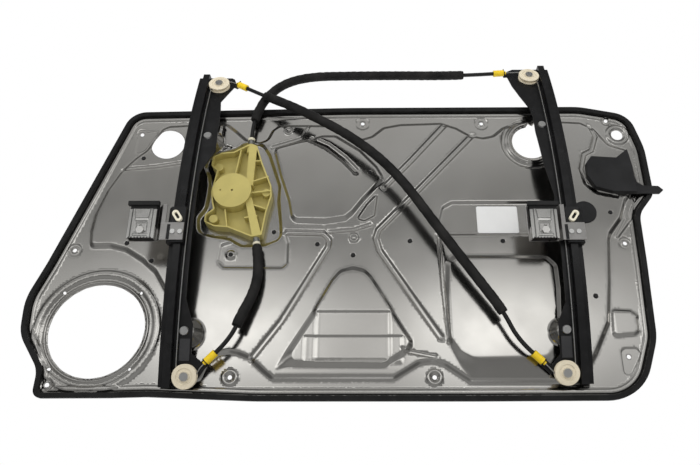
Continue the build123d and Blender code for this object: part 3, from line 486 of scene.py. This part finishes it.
def form_height(p):
    """The panel's height over its rim, without the rails' domes, at points x, z in mm."""
    height = np.zeros(len(p))
    for outline, r, delta, wall in FORMS:
        raise_field(height, p, rounded(outline, r), delta, wall)
    for skirt, top, r, delta in SKIRTED:
        outer, inner = rounded(skirt, r), rounded(top, r)
        rows = near(p, outer, 1)
        out = inside_distance(p[rows], outer)
        within = inside_distance(p[rows], inner)
        height[rows] += delta * ease(np.clip(out, 0, None) / np.maximum(out - within, 0.01), 0.16)
    for line, half, delta in BEADS:
        rows = near(p, np.array(line), half + 2)
        height[rows] += delta * ease(1.7 * (1 - line_distance(p[rows], line) / half), 0.35)
    for x, z, inner, outer, delta in RINGS:
        r = np.hypot(p[:, 0] - x, p[:, 1] - z)
        height += delta * ease(1.7 * (1 - np.abs(r - (inner + outer) / 2) * 2 / (outer - inner)), 0.35)
    for z, left, right, drop in STEPS:
        along = ease((p[:, 0] - left) / 5) * ease((right - p[:, 0]) / 5)
        height -= drop * along * ease((z - p[:, 1]) / 3.5) * ease((p[:, 1] + 300) / 12)
    first, last, delta = RIM_BEAD
    edge = inside_distance(p, sheet_edge())
    height += delta * ease(1.9 * (1 - np.abs(edge - (first + last) / 2) * 2 / (last - first)), 0.35)
    pocket = rounded(DRUM_POCKET, POCKET_CORNER)
    rows = near(p, pocket, 1)
    share = ease(inside_distance(p[rows], pocket) / POCKET_WALL)
    height[rows] *= 1 - share
    for x, z, r, level in SEATS:
        height = seat(height, p, x, z, r, level)
    return np.maximum(height, LOWEST)


def rail_back(z):
    """How far the back of the rails' web is in front of the panel's rear face, at a height."""
    return np.sqrt((RAIL_R - SHEET) ** 2 - (z - ARC_Z) ** 2) - ARC_Y


def front_height(p):
    """How far the panel's front face is in front of the rear face, in mm."""
    height = form_height(p) + SHEET
    for x, z, bx, bz, base_r in DOMES:
        rows = np.nonzero(np.hypot(p[:, 0] - bx, p[:, 1] - bz) < base_r + DOME_REACH)[0]
        q = p[rows]
        top = rail_back(np.array(z))
        # the drawn cone, solved for the height at which its slope passes over the point
        ax, az, shrink = (x - bx) / top, (z - bz) / top, (base_r - DOME_TOP_R) / top
        dx, dz = q[:, 0] - bx, q[:, 1] - bz
        a = ax * ax + az * az - shrink * shrink
        b = -2 * (dx * ax + dz * az) + 2 * base_r * shrink
        c = dx * dx + dz * dz - base_r * base_r
        root = np.sqrt(np.maximum(b * b - 4 * a * c, 0))
        cone = np.where(abs(a) < 1e-9, -c / b, (-b + root) / (2 * a))
        cone = np.clip(cone, -20, 80)
        # a soft flare at the foot, and a turned-over edge at the flat top
        base = height[rows]
        soft = 5.0
        blend = np.clip(0.5 + (cone - base) / (2 * soft), 0, 1)
        lifted = base + (cone - base) * blend + soft * blend * (1 - blend)
        roof = rail_back(q[:, 1]) - DOME_GAP
        soft = 1.6
        blend = np.clip(0.5 + (roof - lifted) / (2 * soft), 0, 1)
        height[rows] = np.minimum(roof, roof + (lifted - roof) * blend - soft * blend * (1 - blend))
    return height


def shifted(outline, distance):
    """A closed outline moved inward by a distance."""
    nxt, last = np.roll(outline, -1, 0), np.roll(outline, 1, 0)
    along = nxt - last
    along /= np.maximum(np.hypot(*along.T), 1e-9)[:, None]
    normal = np.stack([-along[:, 1], along[:, 0]], 1)
    area = np.sum(outline[:, 0] * nxt[:, 1] - nxt[:, 0] * outline[:, 1])
    return outline + normal * distance * (1 if area > 0 else -1)


def resampled(outline, step):
    """Points at even distances along a closed outline."""
    closed = np.vstack([outline, outline[:1]])
    length = np.concatenate([[0], np.cumsum(np.hypot(*np.diff(closed, axis=0).T))])
    count = max(8, int(length[-1] / step))
    at = np.linspace(0, length[-1], count, endpoint=False)
    return np.stack([np.interp(at, length, closed[:, i]) for i in (0, 1)], 1)


def mesh_object(name, verts, faces, mat, body):
    """A smooth mesh piece that rides on a body."""
    mesh = bpy.data.meshes.new(name)
    mesh.from_pydata([tuple(v) for v in verts], [], [tuple(f) for f in faces])
    mesh.validate()
    mesh.shade_smooth()
    mesh.materials.append(mat)
    obj = added(name, mesh)
    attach(obj, body)
    return obj


def grid_faces(rows, cols, wanted=None):
    """The quads between points laid in rows, less those that wanted() turns down."""
    faces = []
    for i in range(rows - 1):
        for j in range(cols - 1):
            if wanted is None or wanted(i, j):
                k = i * cols + j
                faces.append((k, k + 1, k + cols + 1, k + cols))
    return faces


NET_BOX = ((-330, 745), (-358, 192))  # a little more than the panel in x and z
GRID = 3.5  # mm between the net's points on the flats
STEP = 2.2  # mm between points along a pressed edge
CELL, EDGE_GAP, HOLE_GAP = 1.6, 1.2, 0.5  # what the points keep free round lines, edge and holes
WALL_LOOPS = (-0.02, 0.1, 0.2, 0.32, 0.5, 0.68, 0.8, 0.9, 1.02)
BEAD_LINES = (-1.02, -0.88, -0.74, -0.58, -0.4, -0.15, 0.15, 0.4, 0.58, 0.74, 0.88, 1.02)


def pressed_panel():
    """The pressed sheet: an even net of points, denser along every pressed edge and up the domes."""
    rim = resampled(sheet_edge(), GRID)
    holes = [circle(x, z, BOLT_HOLE_R, 24) for x, z in BOLT_HOLES]
    holes += [circle(x, z, PLUG_R, 24) for x, z, _ in PLUG_HOLES]
    holes += [circle(x, z, r, 96) for x, z, r in ACCESS_HOLES]
    holes += [circle(x, z, MOTOR_HOLE_R, 24) for x, z in MOTOR_HOLES]
    holes += [circle(x, z, SCREW_HOLE_R, 20) for x, z in SPEAKER_HOLES]
    holes += [circle(0, 0, MOTOR_BORE_R, 96), circle(*SPEAKER, 160)]
    holes += [circle(x, z, RIVET_HOLE_R, 32) for x, z, *_ in DOMES]
    loose = []
    for outline, r, _, wall in FORMS:
        line = rounded(outline, r)
        loose += [resampled(shifted(line, wall * share), STEP) for share in WALL_LOOPS]
    for skirt, top, r, _ in SKIRTED:
        loose += [resampled(shifted(rounded(skirt, r), d), STEP) for d in (-0.3, 0.8, 2.0, 3.5)]
        loose += [resampled(shifted(rounded(top, r), d), STEP) for d in (0.3, -0.8, -2.0, -3.5)]
    line = rounded(DRUM_POCKET, POCKET_CORNER)
    loose += [resampled(shifted(line, POCKET_WALL * share), STEP) for share in WALL_LOOPS]
    first, last, _ = RIM_BEAD
    for share in (0, 0.12, 0.25, 0.4, 0.6, 0.75, 0.88, 1):
        loose.append(resampled(shifted(sheet_edge(), first + (last - first) * share), STEP))
    for z, left, right, _ in STEPS:
        across = np.arange(left, right, STEP)
        loose += [np.stack([across, np.full(len(across), z - d)], 1) for d in (-0.2, 0.6, 1.4, 2.2, 3.0, 3.7)]
    for x, z, inner, outer, _ in RINGS:
        for share in (0, 0.15, 0.3, 0.5, 0.7, 0.85, 1):
            loose.append(circle(x, z, inner + (outer - inner) * share))
    for x, z, r, _ in SEATS:
        loose += [circle(x, z, r + extra) for extra in (0, 1.5, 3.5, 5)]
    for line, half, _ in BEADS:
        line = np.array(line, float)
        for a, b in zip(line, line[1:]):
            d = (b - a) / np.hypot(*(b - a))
            n = np.array((-d[1], d[0]))
            along = np.arange(0, np.hypot(*(b - a)), STEP)[:, None] * d + a
            loose += [along + n * half * share for share in BEAD_LINES]
    domes = []
    for x, z, bx, bz, base_r in DOMES:
        outer, inner = base_r + DOME_FLARE, DOME_TOP_R + 2
        for share in np.linspace(0, 1, 26):
            centre = np.array((bx, bz)) + (np.array((x, z)) - (bx, bz)) * share
            domes.append(circle(*centre, outer + (inner - outer) * share, 72))
    xs, zs = np.meshgrid(*(np.arange(*span, GRID) for span in NET_BOX))
    net = np.stack([xs.ravel(), zs.ravel()], 1)
    aside = np.where((np.arange(len(net)) // 2) % 2, 0.17, -0.11) * GRID
    net += np.stack([aside, np.zeros(len(net))], 1)
    spaced = np.vstack(loose)
    for _, _, bx, bz, base_r in DOMES:
        reach = base_r + DOME_FLARE + 1
        spaced = spaced[np.hypot(spaced[:, 0] - bx, spaced[:, 1] - bz) > reach]
        net = net[np.hypot(net[:, 0] - bx, net[:, 1] - bz) > reach]
    # the net keeps away from the denser lines, so the triangles stay even
    taken = {(int(a // CELL), int(b // CELL)) for a, b in np.vstack([spaced, rim, *holes])}
    free = [(int(a // CELL), int(b // CELL)) not in taken for a, b in net]
    points = np.vstack([net[free], spaced, *domes])
    points = points[inside_distance(points, rim) > EDGE_GAP]
    for hole in holes:
        centre = hole.mean(0)
        r = np.hypot(*(hole[0] - centre))
        points = points[np.hypot(*(points - centre).T) > r + HOLE_GAP]
    loops, edges = [rim, *holes], []
    start = 0
    for loop in loops:
        count = len(loop)
        edges += [(start + i, start + (i + 1) % count) for i in range(count)]
        start += count
    every = np.vstack([*loops, points])
    out = delaunay_2d_cdt([Vector(p) for p in every], edges, [], 1, 0.01)
    flat = np.array([tuple(v) for v in out[0]])
    tris = np.array([f for f in out[2] if len(f) == 3])
    middle = flat[tris].mean(1)
    keep = np.ones(len(tris), bool)
    for hole in holes:
        centre = hole.mean(0)
        keep &= np.hypot(*(middle - centre).T) > np.hypot(*(hole[0] - centre)) * 0.995
    tris = tris[keep]
    a, b, c = flat[tris[:, 0]], flat[tris[:, 1]], flat[tris[:, 2]]
    turn = (b - a)[:, 0] * (c - a)[:, 1] - (b - a)[:, 1] * (c - a)[:, 0]
    tris[turn < 0] = tris[turn < 0][:, ::-1]
    # counter-clockwise in x and z faces the glass side (-Y)
    height = front_height(flat)
    verts = np.stack([flat[:, 0], -height, flat[:, 1]], 1) * MM
    obj = mesh_object("pressed_panel", verts, tris, STEEL, "panel")
    solid = obj.modifiers.new("sheet", "SOLIDIFY")
    solid.thickness = SHEET * MM
    solid.offset = -1.0
    solid.use_even_offset = False
    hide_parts("carrier_panel")


pressed_panel()


# ---- conduits, foam sleeves, exit springs ----
# Route points of the conduits, in mm, as in the CAD.
ROUTES = {
    "upper": [
        (23.5, -14, 97), (23.3, -15, 127), (28, -17.2, 158), (43, -18, 198), (75, -17, 232),
        (124, -15.5, 249), (200, -15, 251.5), (293, -14.5, 252.5), (362, -13.5, 252.8),
        (432.4, -11.4, 256.3), (472.2, -10.2, 260.3),
    ],
    "cross": [
        (8.0, -22.6, 216.8), (40, -28.1, 196.8), (88, -44, 166), (142, -48, 134), (198, -50, 98),
        (252, -50, 53), (296, -50, 1), (336, -49, -61), (374, -47, -118), (411, -44, -172),
        (446, -40, -222), (465.7, -34.3, -265.2), (488.0, -29.1, -284.6),
    ],
    "lower": [
        (45.7, -14.2, -85.5), (49.5, -17.6, -106), (54, -21, -133), (55.5, -24, -162),
        (49, -27.5, -193), (36.5, -31, -222), (22.4, -34.9, -264), (0.8, -29.4, -284.1),
    ],
}
# Where the foam begins and ends, as shares of the conduit's length.
SLEEVED = {"upper": (0.095, 0.893), "cross": (0.062, 0.893), "lower": (0.075, 0.762)}
EXIT_LENGTH, COIL_SHARE = 14.0, 0.7  # an exit's length, and how much of it is spring
COIL_R, WIRE_R, LINING_R = 5.75, 0.55, 4.9
COIL_TURNS, STEPS_A_TURN = 9, 20
FOAM_LUMP, FOAM_DRAW_IN = 0.25, 0.9  # how far the foam bulges, and narrows at its ends
FOAM_GAP, LINING_GAP = 0.15, 0.1  # round the conduit
FOAM_SEED = 7  # of the first sleeve
FOAM_STEP, COIL_GAP = 0.004, 0.0003  # metres: between the foam's rings, and at the coil's ends


def route_curve(name, points):
    """A conduit's spline through the route's points."""
    curve = bpy.data.curves.new(name, "CURVE")
    curve.dimensions = "3D"
    spline = curve.splines.new("NURBS")
    spline.points.add(len(points) - 1)
    for point, place in zip(spline.points, points):
        point.co = (*[v * MM for v in place], 1)
    spline.order_u = 3
    spline.use_endpoint_u = True
    spline.resolution_u = 24
    return curve


def line_of(curve):
    """The points of a route's own spline, in metres."""
    probe = bpy.data.objects.new("probe", curve)
    mesh = bpy.data.meshes.new_from_object(probe)
    points = np.array([v.co for v in mesh.vertices])
    bpy.data.objects.remove(probe)
    bpy.data.meshes.remove(mesh)
    return points


def part_of(points, start, end, step):
    """An even run of points between two lengths along a line."""
    length = np.concatenate([[0], np.cumsum(np.linalg.norm(np.diff(points, axis=0), axis=1))])
    count = max(2, int((end - start) / step))
    at = np.linspace(start, end, count + 1)
    return np.stack([np.interp(at, length, points[:, i]) for i in range(3)], 1)


def frames_along(points):
    """Two unit vectors across the line at each point, carried along without twist."""
    along = np.gradient(points, axis=0)
    along /= np.linalg.norm(along, axis=1)[:, None]
    side = np.cross(along[0], (0.0, 1.0, 0.0))
    out = []
    for t in along:
        side = side - t * (side @ t)
        side = side / np.linalg.norm(side)
        out.append((side, np.cross(t, side)))
    return out


def tube(points, radius_at, sides=20, hollow=None):
    """Rings of a tube. radius_at takes the ring's share and its angle; hollow is an inner radius."""
    verts, faces = [], []
    count = len(points)
    frames = frames_along(points)
    layers = [radius_at] if hollow is None else [radius_at, lambda share, angle: hollow]
    for layer, radius in enumerate(layers):
        for i, (point, (u, v)) in enumerate(zip(points, frames)):
            for k in range(sides):
                angle = 2 * pi * k / sides
                r = radius(i / (count - 1), angle)
                verts.append(point + (u * cos(angle) + v * sin(angle)) * r)
        base = layer * count * sides
        for i in range(count - 1):
            for k in range(sides):
                a, b = base + i * sides + k, base + i * sides + (k + 1) % sides
                face = (a, a + sides, b + sides, b)
                faces.append(face if layer == 0 else face[::-1])
    if hollow is None:
        faces.append(tuple(range(sides)))
        faces.append(tuple(reversed(range((count - 1) * sides, count * sides))))
    else:
        inner = count * sides
        for k in range(sides):
            k2 = (k + 1) % sides
            faces.append((k, k2, inner + k2, inner + k))
            last = (count - 1) * sides
            faces.append((last + k2, last + k, inner + last + k, inner + last + k2))
    return verts, faces


def recalculated(obj):
    """The object with all its faces turned outward."""
    mesh = bmesh.new()
    mesh.from_mesh(obj.data)
    bmesh.ops.recalc_face_normals(mesh, faces=mesh.faces)
    mesh.to_mesh(obj.data)
    mesh.free()
    return obj


def foam_radius(seed):
    """A foam sleeve's radius: slightly dented and lumpy, drawn in at its cut ends."""
    rng = np.random.default_rng(seed)
    waves = [
        (rng.uniform(6, 60), rng.uniform(0, 6.28), rng.integers(0, 3), rng.uniform(0.04, 0.14))
        for _ in range(9)
    ]

    def radius(share, angle):
        """The radius in metres, at a share of the length and an angle round it."""
        wobble = sum(a * sin(f * share * 6.28 + p + k * angle) for f, p, k, a in waves)
        end = min(share, 1 - share)
        lump = min(wobble, FOAM_LUMP) - FOAM_DRAW_IN * max(0, 1 - end * 90) ** 2
        return (SLEEVE_R - FOAM_LUMP + lump) * MM

    return radius


for index, (name, points) in enumerate(ROUTES.items()):
    curve = route_curve(f"{name}_conduit_tube", points)
    line = line_of(curve)
    curve.bevel_depth = CONDUIT_R * MM
    curve.bevel_resolution = 5
    curve.use_fill_caps = True
    curve.materials.append(CONDUIT)
    hose = added(f"{name}_conduit_tube", curve)
    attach(hose, "panel")
    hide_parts(f"{name}_conduit")
    whole = np.sum(np.linalg.norm(np.diff(line, axis=0), axis=1))
    first, last = SLEEVED[name]
    run = part_of(line, first * whole, last * whole, FOAM_STEP)
    verts, faces = tube(run, foam_radius(FOAM_SEED + index), 28, (CONDUIT_R + FOAM_GAP) * MM)
    foam_tube = recalculated(mesh_object(f"{name}_foam_tube", verts, faces, FOAM, "panel"))
    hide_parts(f"{name}_sleeve")
    if name == "cross":
        continue
    # the close coil of wire round the conduit where it leaves the housing
    length = EXIT_LENGTH * COIL_SHARE * MM
    core = part_of(line, COIL_GAP, length - COIL_GAP, length / (COIL_TURNS * STEPS_A_TURN))
    helix = []
    for i, (point, (u, v)) in enumerate(zip(core, frames_along(core))):
        angle = 2 * pi * COIL_TURNS * i / (len(core) - 1)
        helix.append(point + (u * cos(angle) + v * sin(angle)) * (COIL_R - WIRE_R) * MM)
    verts, faces = tube(np.array(helix), lambda share, angle: WIRE_R * MM, 8)
    coil = recalculated(mesh_object(f"{name}_exit_coil", verts, faces, SPRING, "panel"))
    verts, faces = tube(core, lambda share, angle: LINING_R * MM, 24, (CONDUIT_R + LINING_GAP) * MM)
    recalculated(mesh_object(f"{name}_exit_lining", verts, faces, SPRING, "panel"))
    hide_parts(f"{name}_exit_spring")


# ---- glass clamps and the sticker ----
REST_ANGLE = -2.0  # where the carriers stand on the rails' arc, in degrees
JAW_FACE = 23.6  # how far a jaw's pressed face stands off the rail's web
CLAMP_X = {"front": (-152.0, -104.0), "rear": (493.0, 541.0)}
CLAMP_LOW, CLAMP_TOP = -28.0, 23.0
JAW_THICKNESS = 1.2
TEETH_TOP, TEETH_PITCH, TOOTH_WIDTH = -25.8, 5.0, 3.2
# Pressed blocks: height, its slope up the jaw from a level, half width, from and to, softness.
JAW_BLOCKS = [
    (0.5, 0.07, 4.0, 10.3, 1.4, 6.5, 0.8),
    (-0.5, 0.0, 0.0, 9.5, -18.0, -0.5, 0.9),
    (0.4, 0.0, 0.0, 7.4, -15.6, -2.6, 0.9),
    (0.4, 0.0, 0.0, 4.0, -13.4, -12.0, 0.8),
    (0.5, 0.07, -22.4, 11.5, -24.2, -20.7, 0.8),
]
CHEEK_DEPTHS = (9.2, 18.6)  # from and to, off the web
PLATE_FRONT = 16.0  # the lift plate's face, off the web
STRIP_X = {"front": -86.0, "rear": 553.0}  # the black band on it


def on_carrier(x, y, z):
    """A point in a carrier's own plane (along the door, up the rail, off the rail's web), in metres."""
    a = radians(REST_ANGLE)
    foot_y, foot_z = ARC_Y - RAIL_R * cos(a), ARC_Z + RAIL_R * sin(a)
    return (x * MM, (foot_y + y * sin(a) - z * cos(a)) * MM, (foot_z + y * cos(a) + z * sin(a)) * MM)


def block(u, v, half, low, high, soft):
    """How much a point belongs to a soft-edged rectangle, from 0 to 1."""
    across = ease((u + half) / soft + 0.5) * ease((half - u) / soft + 0.5)
    return across * ease((v - low) / soft + 0.5) * ease((high - v) / soft + 0.5)


def jaw_relief(u, v):
    """The pressed front of a clamp: bent sides, a tapered seat and two ledges about a square."""
    out = -1.6 * (1 - ease((17.5 - np.abs(u)) / 2.5))
    half = 12.6 - np.clip(23 - v, 0, 17) * 0.13
    out -= 0.9 * ease((half - np.abs(u)) / 1.0 + 0.5) * ease((v - 6.5) / 1.0 + 0.5)
    for height, slope, level, half, low, high, soft in JAW_BLOCKS:
        out += (height + slope * (v - level)) * block(u, v, half, low, high, soft)
    return out + 0.9 * (1 - ease((np.hypot(u, v + 7.5) - 0.8) / 1.4))


def clamp_jaw(end):
    """A carrier's outer jaw: the pressed face and the two cheeks that carry it."""
    left, right = CLAMP_X[end]
    middle, half = (left + right) / 2, (right - left) / 2 - 2
    across, up = np.linspace(-half, half, 89), np.linspace(CLAMP_LOW, CLAMP_TOP, 103)
    verts = []
    for v in up:
        for w, u in zip(jaw_relief(across, np.full(len(across), v)), across):
            verts.append(on_carrier(middle + u, v, JAW_FACE + w))

    def solid_there(i, j):
        """Whether the sheet has metal at a quad: gaps part the teeth along its foot."""
        u, v = (across[j] + across[j + 1]) / 2, (up[i] + up[i + 1]) / 2
        return not (v < TEETH_TOP and (u + half) % TEETH_PITCH > TOOTH_WIDTH and abs(u) < half - 3)

    faces = grid_faces(len(up), len(across), solid_there)
    # the jaw's face in a darker copy of the zinc, painted shade; its cheeks keep the plain zinc
    jaw = mesh_object(f"{end}_pressed_jaw", verts, faces, JAW_ZINC_SHADED, f"{end}_carrier")
    solid = jaw.modifiers.new("sheet", "SOLIDIFY")
    solid.thickness = JAW_THICKNESS * MM
    solid.offset = -1.0
    # the jaw's foot: side cheeks that reach back to the lift plate
    cheeks = bmesh.new()
    for side in (-1, 1):
        ring = []
        for depth in CHEEK_DEPTHS:
            for x in (side * half, side * (half - 2)):
                for v in (CLAMP_LOW + 1.0, -7.0):
                    ring.append(cheeks.verts.new(on_carrier(middle + x, v, depth)))
        for quad in ((0, 1, 3, 2), (4, 6, 7, 5), (0, 4, 5, 1), (2, 3, 7, 6), (0, 2, 6, 4), (1, 5, 7, 3)):
            cheeks.faces.new([ring[i] for i in quad])
    bmesh.ops.recalc_face_normals(cheeks, faces=cheeks.faces)
    edges = cheeks.edges[:]
    bmesh.ops.bevel(cheeks, geom=edges, offset=0.4 * MM, segments=2, affect="EDGES", clamp_overlap=True)
    mesh = bpy.data.meshes.new(f"{end}_jaw_cheeks")
    cheeks.to_mesh(mesh)
    cheeks.free()
    mesh.materials.append(ZINC)
    obj = added(f"{end}_jaw_cheeks", mesh)
    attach(obj, f"{end}_carrier")
    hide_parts(f"{end}_clamp_jaw")


def shoe_strip(end, middle):
    """The black band of the shoe that parts the lift plate in two, with its edges rounded over."""
    half, low, high, lift = 2.6, CLAMP_LOW + 0.6, -1.4, 0.35
    across = np.array([-half, -half + 0.4, 0, half - 0.4, half])
    rise = np.array([0.02, lift, lift, lift, 0.02])
    up = np.linspace(low, high, 12)
    verts = [on_carrier(middle + u, v, PLATE_FRONT + w) for v in up for u, w in zip(across, rise)]
    faces = grid_faces(len(up), len(across))
    mesh_object(f"{end}_shoe_strip", verts, faces, BLACK, f"{end}_carrier")


for end in CLAMP_X:
    clamp_jaw(end)
    shoe_strip(end, STRIP_X[end])


def sticker():
    """A blank paper label on the panel, with rounded corners and a faint border pressed into it."""
    left, right, low, high, step = 421.0, 492.0, -71.5, -20.5, 1.5
    xs = np.linspace(left, right, int((right - left) / step) + 1)
    zs = np.linspace(low, high, int((high - low) / step) + 1)
    xx, zz = np.meshgrid(xs, zs)
    inward = np.minimum.reduce([xx - left, right - xx, zz - low, high - zz])
    lift = 0.22 - 0.08 * (1 - smooth(inward / 1.5))
    flat = np.stack([xx.ravel(), zz.ravel()], 1)
    height = front_height(flat) + lift.ravel()
    verts = np.stack([flat[:, 0], -height, flat[:, 1]], 1) * MM
    ends, sides = (0, len(zs) - 2), (0, len(xs) - 2)
    faces = grid_faces(len(zs), len(xs), lambda i, j: not (i in ends and j in sides))
    label = mesh_object("blank_sticker", verts, faces, PAPER, "panel")
    solid = label.modifiers.new("paper", "SOLIDIFY")
    solid.thickness = 0.15 * MM
    solid.offset = -1.0


sticker()


# ---- camera, lights, floor ----
PIXELS = (700, 465)
VIEW_CENTRE_X = 372.0  # the photograph's vanishing column
CAMERA_PLACE, CAMERA_TILT, LENS = (0.2407, -1.012, -0.5314), 24.6, 33.43  # it looks up at the part
cam_data = bpy.data.cameras.new("camera")
cam_data.sensor_width = 36.0
cam_data.lens = LENS
cam_data.shift_x = -(VIEW_CENTRE_X - PIXELS[0] / 2) / PIXELS[0]
cam_data.clip_start = 0.01
camera = added("camera", cam_data)
camera.location = CAMERA_PLACE
camera.rotation_euler = (radians(90 + CAMERA_TILT), 0, 0)
bpy.context.scene.camera = camera

CENTRE = (0.2, 0.0, -0.08)  # the middle of the part


def area_light(name, place, size, power):
    """A soft lamp turned to the part. Only matt surfaces see it; the gloss comes from reflectors()."""
    data = bpy.data.lights.new(name, "AREA")
    data.shape = "RECTANGLE"
    data.size, data.size_y = size
    data.energy = power
    obj = added(name, data)
    obj.location = place
    obj.rotation_euler = (Vector(CENTRE) - Vector(place)).to_track_quat("-Z", "Y").to_euler()
    obj.visible_camera = False
    obj.visible_glossy = False


area_light("key", (-0.9, -1.9, 1.7), (1.6, 1.2), 24)
area_light("fill", (2.0, -2.0, 0.6), (1.6, 1.6), 10)
area_light("front", (0.2, -2.6, -0.2), (2.0, 1.0), 6)
area_light("back", (0.4, 2.2, 1.2), (2.0, 1.4), 14)


def math_node(tree, operation, first, second):
    """Two node outputs brought together."""
    node = tree.nodes.new("ShaderNodeMath")
    node.operation = operation
    tree.links.new(first, node.inputs[0])
    tree.links.new(second, node.inputs[1])
    return node.outputs["Value"]


def mix_node(tree, factor, first, second):
    """Two shaders mixed by a factor."""
    node = tree.nodes.new("ShaderNodeMixShader")
    for value, socket in zip((factor, first, second), node.inputs):
        tree.links.new(value, socket)
    return node.outputs["Shader"]


WORLD_MATT, WORLD_SEEN = 0.75, 1.0  # how bright the white is for matt surfaces, and where it is seen
world = bpy.data.worlds.new("studio")
bpy.context.scene.world = world
world.use_nodes = True
tree = world.node_tree
background = tree.nodes["Background"]
background.inputs["Color"].default_value = (1, 1, 1, 1)
path = tree.nodes.new("ShaderNodeLightPath")
seen = math_node(tree, "MAXIMUM", path.outputs["Is Camera Ray"], path.outputs["Is Glossy Ray"])
seen = math_node(tree, "MAXIMUM", seen, path.outputs["Is Transmission Ray"])
level = tree.nodes.new("ShaderNodeMapRange")
level.inputs["To Min"].default_value, level.inputs["To Max"].default_value = WORLD_MATT, WORLD_SEEN
tree.links.new(seen, level.inputs["Value"])
tree.links.new(level.outputs["Result"], background.inputs["Strength"])

FLOOR_Z, FLOOR_HALF = -0.3535, 40.0
FLOOR_FADE = (0.7, 2.2)  # from the origin, in metres


def floor():
    """A plain pale floor, see-through from below, where the photograph's camera looks up past it."""
    mesh = bpy.data.meshes.new("floor")
    half, z = FLOOR_HALF, FLOOR_Z
    corners = [(-half, -half, z), (half, -half, z), (half, half, z), (-half, half, z)]
    mesh.from_pydata(corners, [], [(0, 1, 2, 3)])
    obj = added("floor", mesh)
    mat, shader = material("floor", (0.86, 0.86, 0.855), 0.0, 0.75)
    tree = mat.node_tree
    clear = tree.nodes.new("ShaderNodeBsdfTransparent")
    white = tree.nodes.new("ShaderNodeEmission")
    geometry = tree.nodes.new("ShaderNodeNewGeometry")
    ray = tree.nodes.new("ShaderNodeLightPath")
    # far from the part the floor turns to the white of the background, for the camera alone
    distance = tree.nodes.new("ShaderNodeVectorMath")
    distance.operation = "LENGTH"
    reach = tree.nodes.new("ShaderNodeMapRange")
    reach.interpolation_type = "SMOOTHSTEP"
    reach.inputs["From Min"].default_value, reach.inputs["From Max"].default_value = FLOOR_FADE
    tree.links.new(geometry.outputs["Position"], distance.inputs[0])
    tree.links.new(distance.outputs["Value"], reach.inputs["Value"])
    share = math_node(tree, "MULTIPLY", reach.outputs["Result"], ray.outputs["Is Camera Ray"])
    faded = mix_node(tree, share, shader.outputs["BSDF"], white.outputs["Emission"])
    whole = mix_node(tree, geometry.outputs["Backfacing"], faded, clear.outputs["BSDF"])
    tree.links.new(whole, tree.nodes["Material Output"].inputs["Surface"])
    mesh.materials.append(mat)
    obj.visible_glossy = False


# The studio that the gloss sees: elevation in degrees, and how bright it is there.
STUDIO = [
    (-90, 0.24), (-40, 0.3), (-12, 0.28), (-4, 0.17), (3, 0.26), (9, 0.48), (13, 0.62), (16, 0.6),
    (20, 0.34), (24, 0.23), (27, 0.25), (30, 0.38), (34, 0.52), (40, 0.5), (48, 0.34), (60, 0.18),
    (90, 0.14),
]
# Its two lamps, low in front: where they stand and how large they are in degrees, and how bright.
LAMP_AZIMUTHS, LAMP_WIDTH = (-14, 12), 8.0
LAMP_ELEVATION, LAMP_HEIGHT = 14.6, 3.8
LAMP_LEVEL = 1.6


def card_level(azimuth, elevation):
    """How bright the studio is in a direction seen from the part."""
    level = np.interp(elevation, [e for e, _ in STUDIO], [v for _, v in STUDIO])
    side = 1 - 0.6 * smooth((abs(azimuth) - 35) / 40)
    up = ((elevation - LAMP_ELEVATION) / LAMP_HEIGHT) ** 2
    lamps = sum(np.exp(-(((azimuth - a) / LAMP_WIDTH) ** 2) - up) for a in LAMP_AZIMUTHS)
    return level * side + LAMP_LEVEL * lamps


def reflectors():
    """The studio as gloss sees it, on a shell far in front: bands of light and shade."""
    radius, step = 12.0, 1.5  # metres, degrees
    elevations, azimuths = np.arange(-75, 88.1, step), np.arange(-120, 120.1, step)
    verts, levels = [], []
    for e in elevations:
        for a in azimuths:
            x, y = sin(radians(a)) * cos(radians(e)), -cos(radians(a)) * cos(radians(e))
            verts.append((CENTRE[0] + radius * x, radius * y, radius * sin(radians(e))))
            levels.append(float(card_level(a, e)))
    mesh = bpy.data.meshes.new("reflectors")
    mesh.from_pydata(verts, [], grid_faces(len(elevations), len(azimuths)))
    layer = mesh.color_attributes.new("level", "FLOAT_COLOR", "POINT")
    layer.data.foreach_set("color", [v for level in levels for v in (level, level, level * 0.985, 1)])
    obj = added("reflectors", mesh)
    mat = bpy.data.materials.new("reflectors")
    mat.use_nodes = True
    tree = mat.node_tree
    tree.nodes.remove(tree.nodes["Principled BSDF"])
    glow = tree.nodes.new("ShaderNodeEmission")
    attribute = tree.nodes.new("ShaderNodeAttribute")
    attribute.attribute_name = "level"
    tree.links.new(attribute.outputs["Color"], glow.inputs["Color"])
    tree.links.new(glow.outputs["Emission"], tree.nodes["Material Output"].inputs["Surface"])
    mesh.materials.append(mat)
    for kind in ("camera", "diffuse", "transmission", "volume_scatter", "shadow"):
        setattr(obj, f"visible_{kind}", False)


floor()
reflectors()
bpy.context.scene.view_settings.view_transform = "Standard"
